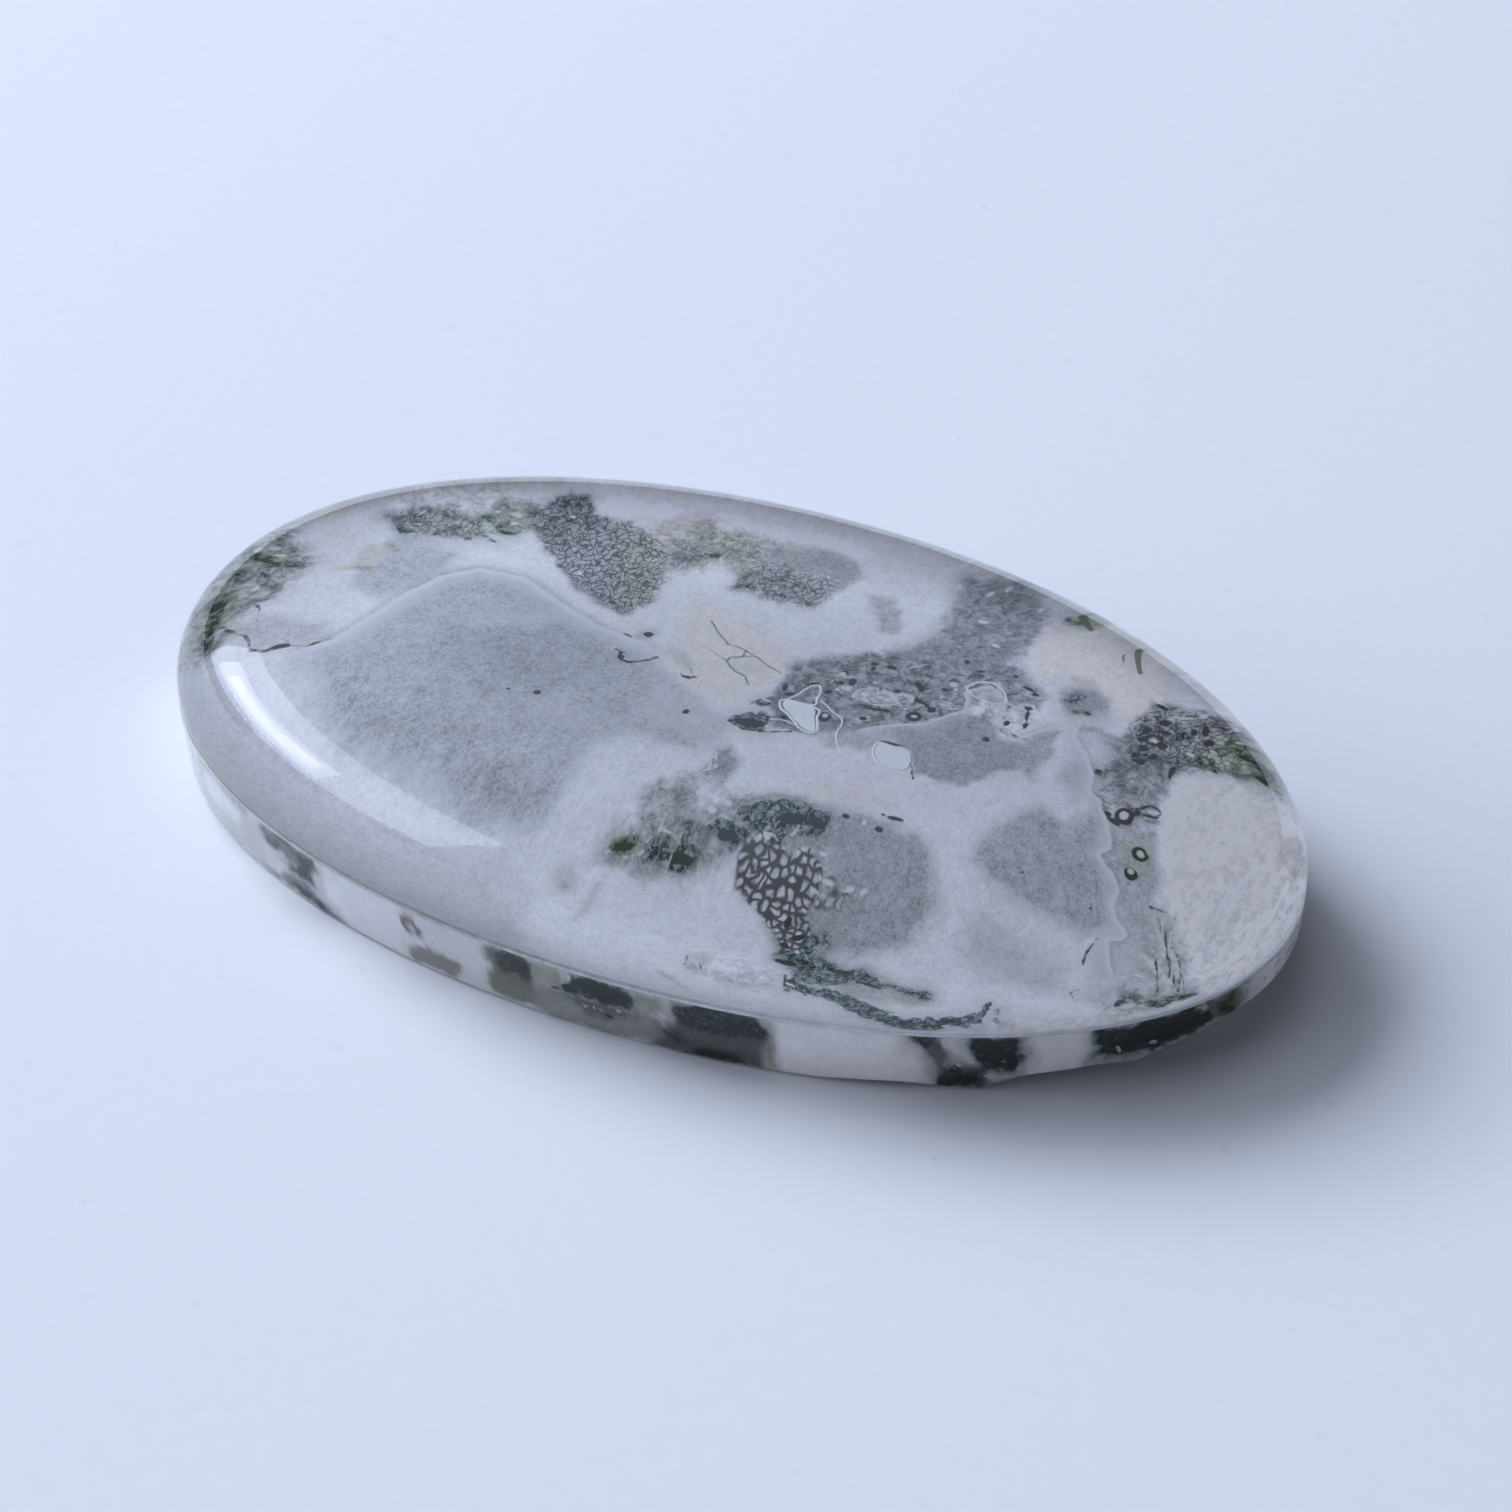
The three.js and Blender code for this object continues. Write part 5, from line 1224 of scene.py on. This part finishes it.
def crystal_cap():
    """The cap by rules of its own, made plain: rings of points round the dome, and rows for the wall,
    the step above the seam, the foot and the bottom."""
    tree = bpy.data.node_groups.new("crystal_cap_rules", "GeometryNodeTree")
    bench = Bench(tree)
    values = {
        "Sides": ("NodeSocketInt", CAP_SIDES),
        "Rings": ("NodeSocketInt", CAP_RINGS),
        "Half Length": ("NodeSocketFloat", (HALF_LENGTH - CAP_INSET) * MM),
        "Half Width": ("NodeSocketFloat", (HALF_WIDTH - CAP_INSET) * MM),
        "Oval Power": ("NodeSocketFloat", OVAL_POWER),
        "Foot": ("NodeSocketFloat", CAP_FOOT * MM),
        "Wall": ("NodeSocketFloat", CAP_WALL * MM),
        "Rise": ("NodeSocketFloat", (CROWN - CAP_FOOT - CAP_WALL) * MM),
        "Crown Power": ("NodeSocketFloat", CROWN_POWER),
        "Shoulder Power": ("NodeSocketFloat", SHOULDER_POWER),
        "Step": ("NodeSocketFloat", SEAM_STEP * MM),
        "Contact": ("NodeSocketFloat", (SEAM - CONTACT) * MM),
        "Polish Swell": ("NodeSocketFloat", 0.02 * MM),
        "Seed": ("NodeSocketFloat", 7.0),
        "Material": ("NodeSocketMaterial", crystal_material()),
    }
    tree.interface.new_socket("Geometry", in_out="INPUT", socket_type="NodeSocketGeometry")
    sockets = {name: tree.interface.new_socket(name, in_out="INPUT", socket_type=kind).identifier
               for name, (kind, _) in values.items()}
    tree.interface.new_socket("Geometry", in_out="OUTPUT", socket_type="NodeSocketGeometry")
    given = tree.nodes.new("NodeGroupInput")
    result = tree.nodes.new("NodeGroupOutput")
    has = {name: Wire(bench, given.outputs[name]) for name in values}

    # a sheet of one row per ring, with five more rows for the wall, the step, the foot and the bottom
    grid = bench.add("GeometryNodeMeshGrid", {}, {
        "Size X": 1.0, "Size Y": 1.0, "Vertices X": has["Sides"] + 1.0, "Vertices Y": has["Rings"] + 5.0})
    place = bench.add("GeometryNodeInputPosition")
    across, up = bench.x_and_y(place)
    angle = (across + 0.5) * (2 * math.pi)
    row = (up + 0.5) * (has["Rings"] + 4.0)
    share = bench.math("MINIMUM", row / has["Rings"], 1.0)
    reach = bench.math("SINE", share * (math.pi / 2))
    beyond = row - has["Rings"]
    height = bench.math("MAXIMUM", 1.0 - reach ** has["Crown Power"], 0.0) ** has["Shoulder Power"]

    on_wall = bench.math("GREATER_THAN", beyond, 0.5)
    on_step = bench.math("GREATER_THAN", beyond, 1.5)
    on_foot = bench.math("GREATER_THAN", beyond, 2.5)
    on_bottom = bench.math("GREATER_THAN", beyond, 3.5)
    z = has["Foot"] + has["Wall"] * (1.0 - on_wall) + has["Rise"] * height
    z = z + on_foot * (has["Contact"] - has["Foot"])
    inset = has["Step"] * on_step
    scale = reach * (1.0 - on_bottom)

    c = bench.math("COSINE", angle)
    s = bench.math("SINE", angle)
    sums = abs(c) ** has["Oval Power"] + abs(s) ** has["Oval Power"]
    oval = sums ** (-1.0 / has["Oval Power"])
    swell = bench.noise(place, 3.0, detail=1, seed=has["Seed"])
    dent = (swell - 1.0) * has["Polish Swell"] * height
    x = (has["Half Length"] - inset) * scale * oval * c
    y = (has["Half Width"] - inset) * scale * oval * s
    spot = bench.add("ShaderNodeCombineXYZ", {}, {0: x, 1: y, 2: z + dent})
    moved = bench.add("GeometryNodeSetPosition", {}, {0: grid, "Position": spot})
    closed = bench.add("GeometryNodeMergeByDistance", {}, {"Geometry": moved, "Distance": 1e-7})
    smooth = bench.add("GeometryNodeSetShadeSmooth", {}, {"Geometry": closed})
    real = bench.add("GeometryNodeRealizeInstances", {}, {"Geometry": smooth})
    done = bench.add("GeometryNodeSetMaterial", {}, {"Geometry": real, "Material": has["Material"]})
    tree.links.new(done.socket, result.inputs[0])

    holder = add_object("cap_rules", bpy.data.meshes.new("cap_rules"))
    modifier = holder.modifiers.new("crystal_cap", "NODES")
    modifier.node_group = tree
    for name, (_, value) in values.items():
        modifier[sockets[name]] = value
    worked = holder.evaluated_get(bpy.context.evaluated_depsgraph_get())
    mesh = bpy.data.meshes.new_from_object(worked)
    holder.modifiers.remove(modifier)
    bpy.data.objects.remove(holder)
    mesh.name = "crystal"
    face_outwards(mesh)
    mesh.set_sharp_from_angle(angle=math.radians(40))
    return add_object("crystal", mesh)


def face_outwards(mesh):
    """Turn a closed mesh right side out."""
    work = bmesh.new()
    work.from_mesh(mesh)
    bmesh.ops.recalc_face_normals(work, faces=work.faces)
    if work.calc_volume(signed=True) < 0:
        bmesh.ops.reverse_faces(work, faces=work.faces)
    work.to_mesh(mesh)
    work.free()


# The cement: its band in the seam, and the rims of the bubbles and gaps in it. A rim is its radius,
# whether it closes, and its points.

BUBBLE_RIMS = [
    # the hourglass bubble: its upper lobe, then its lower one
    (0.045, True, [(2.1, 1.0), (2.25, 1.4), (2.35, 1.8), (2.5, 2.1), (2.7, 2.2), (2.9, 1.9), (2.95, 1.5),
                   (3.0, 1.1)]),
    (0.05, True, [(1.95, 0.95), (2.0, 0.5), (2.4, 0.25), (2.8, -0.05), (3.1, -0.3), (3.5, -0.4),
                  (3.72, -0.2), (3.6, 0.1), (3.4, 0.5), (3.2, 0.95)]),
    # the thread of cement beside it
    (0.035, False, [(3.1, 1.45), (3.5, 1.2), (3.8, 1.0), (4.2, 0.8), (4.35, 0.4), (4.35, 0.1), (4.5, -0.3),
                    (4.7, -0.6), (5.0, -1.0)]),
    # the bubble like a letter D
    (0.05, True, [(5.9, 0.15), (5.85, -0.2), (6.0, -0.55), (6.3, -0.85), (6.6, -0.95), (7.0, -0.9),
                  (7.25, -0.65), (7.15, -0.2), (6.95, 0.1), (6.4, 0.15)]),
    # the gap near the back
    (0.03, True, [(7.35, 4.3), (7.6, 4.75), (8.0, 4.9), (8.5, 4.7), (8.85, 4.2), (8.7, 3.95), (8.2, 3.85),
                  (7.6, 4.05)]),
]

BUBBLE_MILK = [
    [(2.0, 0.9), (2.1, 0.55), (2.45, 0.3), (2.85, 0.0), (3.15, -0.22), (3.48, -0.32), (3.64, -0.18),
     (3.52, 0.08), (3.32, 0.45), (3.1, 0.9), (2.6, 0.98)],
    [(5.95, 0.1), (5.92, -0.2), (6.05, -0.5), (6.33, -0.78), (6.62, -0.87), (6.97, -0.82), (7.17, -0.62),
     (7.08, -0.2), (6.9, 0.04), (6.4, 0.09)],
]


def smooth_path(points, closed, step=0.06):
    """A polyline rounded by a Catmull-Rom curve and cut into short steps."""
    points = np.array(points, float)
    last = points[:2] if closed else points[-1]
    guide = np.vstack([points[-1] if closed else points[0], points, last])
    path = []
    for p0, p1, p2, p3 in zip(guide, guide[1:], guide[2:], guide[3:]):
        for t in np.arange(0, 1, step / max(np.hypot(*(p2 - p1)), step)):
            path.append(0.5 * (2 * p1 + (p2 - p0) * t + (2 * p0 - 5 * p1 + 4 * p2 - p3) * t ** 2
                               + (3 * p1 - p0 - 3 * p2 + p3) * t ** 3))
    if not closed:
        path.append(points[-1])
    return np.array(path)


def add_tube(work, path, radius, z, closed, sides=8):
    """A thread of cement along a path, flattened a little and closed at its ends."""
    forward = np.roll(path, -1, axis=0) - np.roll(path, 1, axis=0)
    if not closed:
        forward[0], forward[-1] = path[1] - path[0], path[-1] - path[-2]
    forward /= np.linalg.norm(forward, axis=1)[:, None]
    loops = []
    for (x, y), (fx, fy) in zip(path, forward):
        loop = []
        for i in range(sides):
            a = 2 * math.pi * i / sides
            side, rise = radius * math.cos(a), 0.6 * radius * math.sin(a)
            loop.append(work.verts.new(((x - fy * side) * MM, (y + fx * side) * MM, (z + rise) * MM)))
        loops.append(loop)
    pairs = list(zip(loops, loops[1:] + loops[:1]))
    if not closed:
        pairs.pop()
        work.faces.new(loops[0])
        work.faces.new(loops[-1])
    for a, b in pairs:
        for i in range(sides):
            work.faces.new((a[i], a[(i + 1) % sides], b[(i + 1) % sides], b[i]))


def add_pool(work, outline, z, thickness=0.02):
    """A flat, closed, milky pool."""
    count = len(outline)
    low = [work.verts.new((x * MM, y * MM, (z - thickness) * MM)) for x, y in outline]
    high = [work.verts.new((x * MM, y * MM, z * MM)) for x, y in outline]
    work.faces.new(low[::-1])
    work.faces.new(high)
    for i in range(count):
        j = (i + 1) % count
        work.faces.new((low[i], low[j], high[j], high[i]))


def cement_film():
    """The band of cement in the seam, with the rims and the milky linings of the bubbles."""
    work = bmesh.new()
    angles, _, _ = even_angles(0.25)
    low, high, inside = SEAM - 0.02, CAP_FOOT + 0.004, SEAM_STEP + 0.005
    section = [(0.03, low), (0.008, low + 0.04), (0.006, high - 0.02), (0.03, high),
               (inside, high), (inside, low)]  # inset from the outline, and height
    loops = []
    for inset, z in section:
        x, y = oval_point(angles, inset)
        loops.append([work.verts.new((float(a) * MM, float(b) * MM, z * MM)) for a, b in zip(x, y)])
    for a, b in zip(loops, loops[1:] + loops[:1]):
        for i in range(len(angles)):
            j = (i + 1) % len(angles)
            work.faces.new((a[i], a[j], b[j], b[i]))
    band_faces = len(work.faces)
    for radius, closed, points in BUBBLE_RIMS:
        add_tube(work, smooth_path(points, closed), radius, SEAM + 0.01, closed)
    for outline in BUBBLE_MILK:
        add_pool(work, smooth_path(outline, True), SEAM + 0.012)
    bmesh.ops.recalc_face_normals(work, faces=work.faces)
    mesh = bpy.data.meshes.new("cement")
    work.to_mesh(mesh)
    work.free()
    mesh.materials.append(cement_material("seam_cement", under_glass=False))
    mesh.materials.append(cement_material("bubble_cement", under_glass=True))
    is_bubble = np.arange(len(mesh.polygons)) >= band_faces
    mesh.polygons.foreach_set("material_index", is_bubble.astype(int))
    shade_smoothly(mesh, 50)
    return add_object("cement", mesh)


# The stage: floor, light and camera

FLOOR_HALF = 260

# The lamps: name, azimuth and elevation in degrees, distance, width and height in metres, radiance,
# colour, and whether gloss shows them
LAMPS = [
    ("window", -159, 20, 0.8, 0.98, 0.42, 3.0, (0.72, 0.80, 1.0), True),
    ("window_pane", -167, 15, 0.78, 0.52, 0.18, 3.0, (0.75, 0.82, 1.0), True),
    ("window_gap", -166, 15, 0.76, 0.40, 0.09, 3.4, (0.76, 0.83, 1.0), True),
    ("back_light", 163, 38, 0.8, 0.5, 0.36, 12.9, (0.72, 0.80, 1.0), False),
    ("side_fill", -8, 35, 0.9, 0.5, 0.4, 0.6, (0.76, 0.82, 1.0), False),
]

# The direction of the brightest part of the room: high up, behind the stone and to its left
SKY_FROM = (-0.557, 0.321, 0.766)

CAMERA_EYE = (44.2, -89.1, 77.3)
AIM_RIGHT, AIM_UP = 1.19, 0.35  # how far the camera aims past the middle of the seam
FIELD_OF_VIEW = 24  # degrees


def floor():
    """A small pale matt sheet with a faint grain."""
    h = FLOOR_HALF * MM
    mesh = bpy.data.meshes.new("pale_floor")
    mesh.from_pydata([(-h, -h, 0), (h, -h, 0), (h, h, 0), (-h, h, 0)], [], [(0, 1, 2, 3)])
    material, bench = new_material("pale_paper")
    where = bench.place()
    fibre = bench.noise(where, 1.4, detail=5, roughness=0.7)
    haze = bench.noise(where, 0.02, detail=2)
    speck = bench.smooth(bench.noise(where, 0.9, detail=1), 0.72, 0.78)
    paper = bench.blend(fibre * 0.7 + haze * 0.3, (0.77, 0.775, 0.78, 1.0), (0.83, 0.83, 0.835, 1.0))
    colour = bench.blend(speck * 0.35, paper, (0.70, 0.70, 0.72, 1.0))
    bench.dress({"Base Color": colour, "Roughness": 0.9})
    mesh.materials.append(material)
    return add_object("pale_floor", mesh)


def aim(thing, eye, target):
    thing.location = eye
    thing.rotation_euler = (target - eye).to_track_quat("-Z", "Y").to_euler()


def softbox(name, azimuth, elevation, distance, width, height, radiance, colour, in_gloss):
    """A panel of light that faces the stone."""
    lamp = bpy.data.lights.new(name, "AREA")
    lamp.shape = "RECTANGLE"
    lamp.size, lamp.size_y = width, height
    lamp.energy = radiance * math.pi * width * height
    lamp.color = colour
    panel = add_object(name, lamp)
    panel.visible_glossy = in_gloss
    a, b = math.radians(azimuth), math.radians(elevation)
    towards = Vector((math.cos(b) * math.cos(a), math.cos(b) * math.sin(a), math.sin(b)))
    aim(panel, distance * towards, Vector((0, 0, 3 * MM)))


def light_the_room():
    """The lamps, and a sky that is brightest behind the stone."""
    for lamp in LAMPS:
        softbox(*lamp)
    world = bpy.data.worlds.new("pale_room")
    world.use_nodes = True
    bench = Bench(world.node_tree)
    towards = bench.add("ShaderNodeTexCoord", out=0)
    sides = {0: towards, 1: SKY_FROM}
    facing = bench.add("ShaderNodeVectorMath", {"operation": "DOT_PRODUCT"}, sides, out=1)
    room = world.node_tree.nodes["Background"]
    bench.join(room.inputs["Color"], (0.70, 0.79, 1.0, 1.0))
    bench.join(room.inputs["Strength"], 0.05 + bench.smooth(facing, 0.6, 1.0) * 0.66)
    bpy.context.scene.world = world
    bpy.context.scene.view_settings.view_transform = "Standard"


def photo_camera():
    """The camera where the photo was taken from."""
    seam_middle = Vector((0, 0, SEAM * MM))
    eye = Vector(CAMERA_EYE) * MM
    forward = (seam_middle - eye).normalized()
    right = forward.cross(Vector((0, 0, 1))).normalized()
    target = seam_middle + (right * AIM_RIGHT + right.cross(forward) * AIM_UP) * MM
    lens = bpy.data.cameras.new("photo_camera")
    lens.sensor_width = 36
    lens.lens = lens.sensor_width / 2 / math.tan(math.radians(FIELD_OF_VIEW / 2))
    lens.clip_start = 0.01
    camera = add_object("photo_camera", lens)
    aim(camera, eye, target)
    bpy.context.scene.camera = camera


agate = agate_slab()
crystal = crystal_cap()
cement = cement_film()
paper = floor()
light_the_room()
photo_camera()

for piece, node, slot in [(agate, "agate_base", "moss_agate"), (crystal, "quartz_cap", "rock_crystal"),
                          (cement, "glue_film", "cement")]:
    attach(piece, "root")
    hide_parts(node)
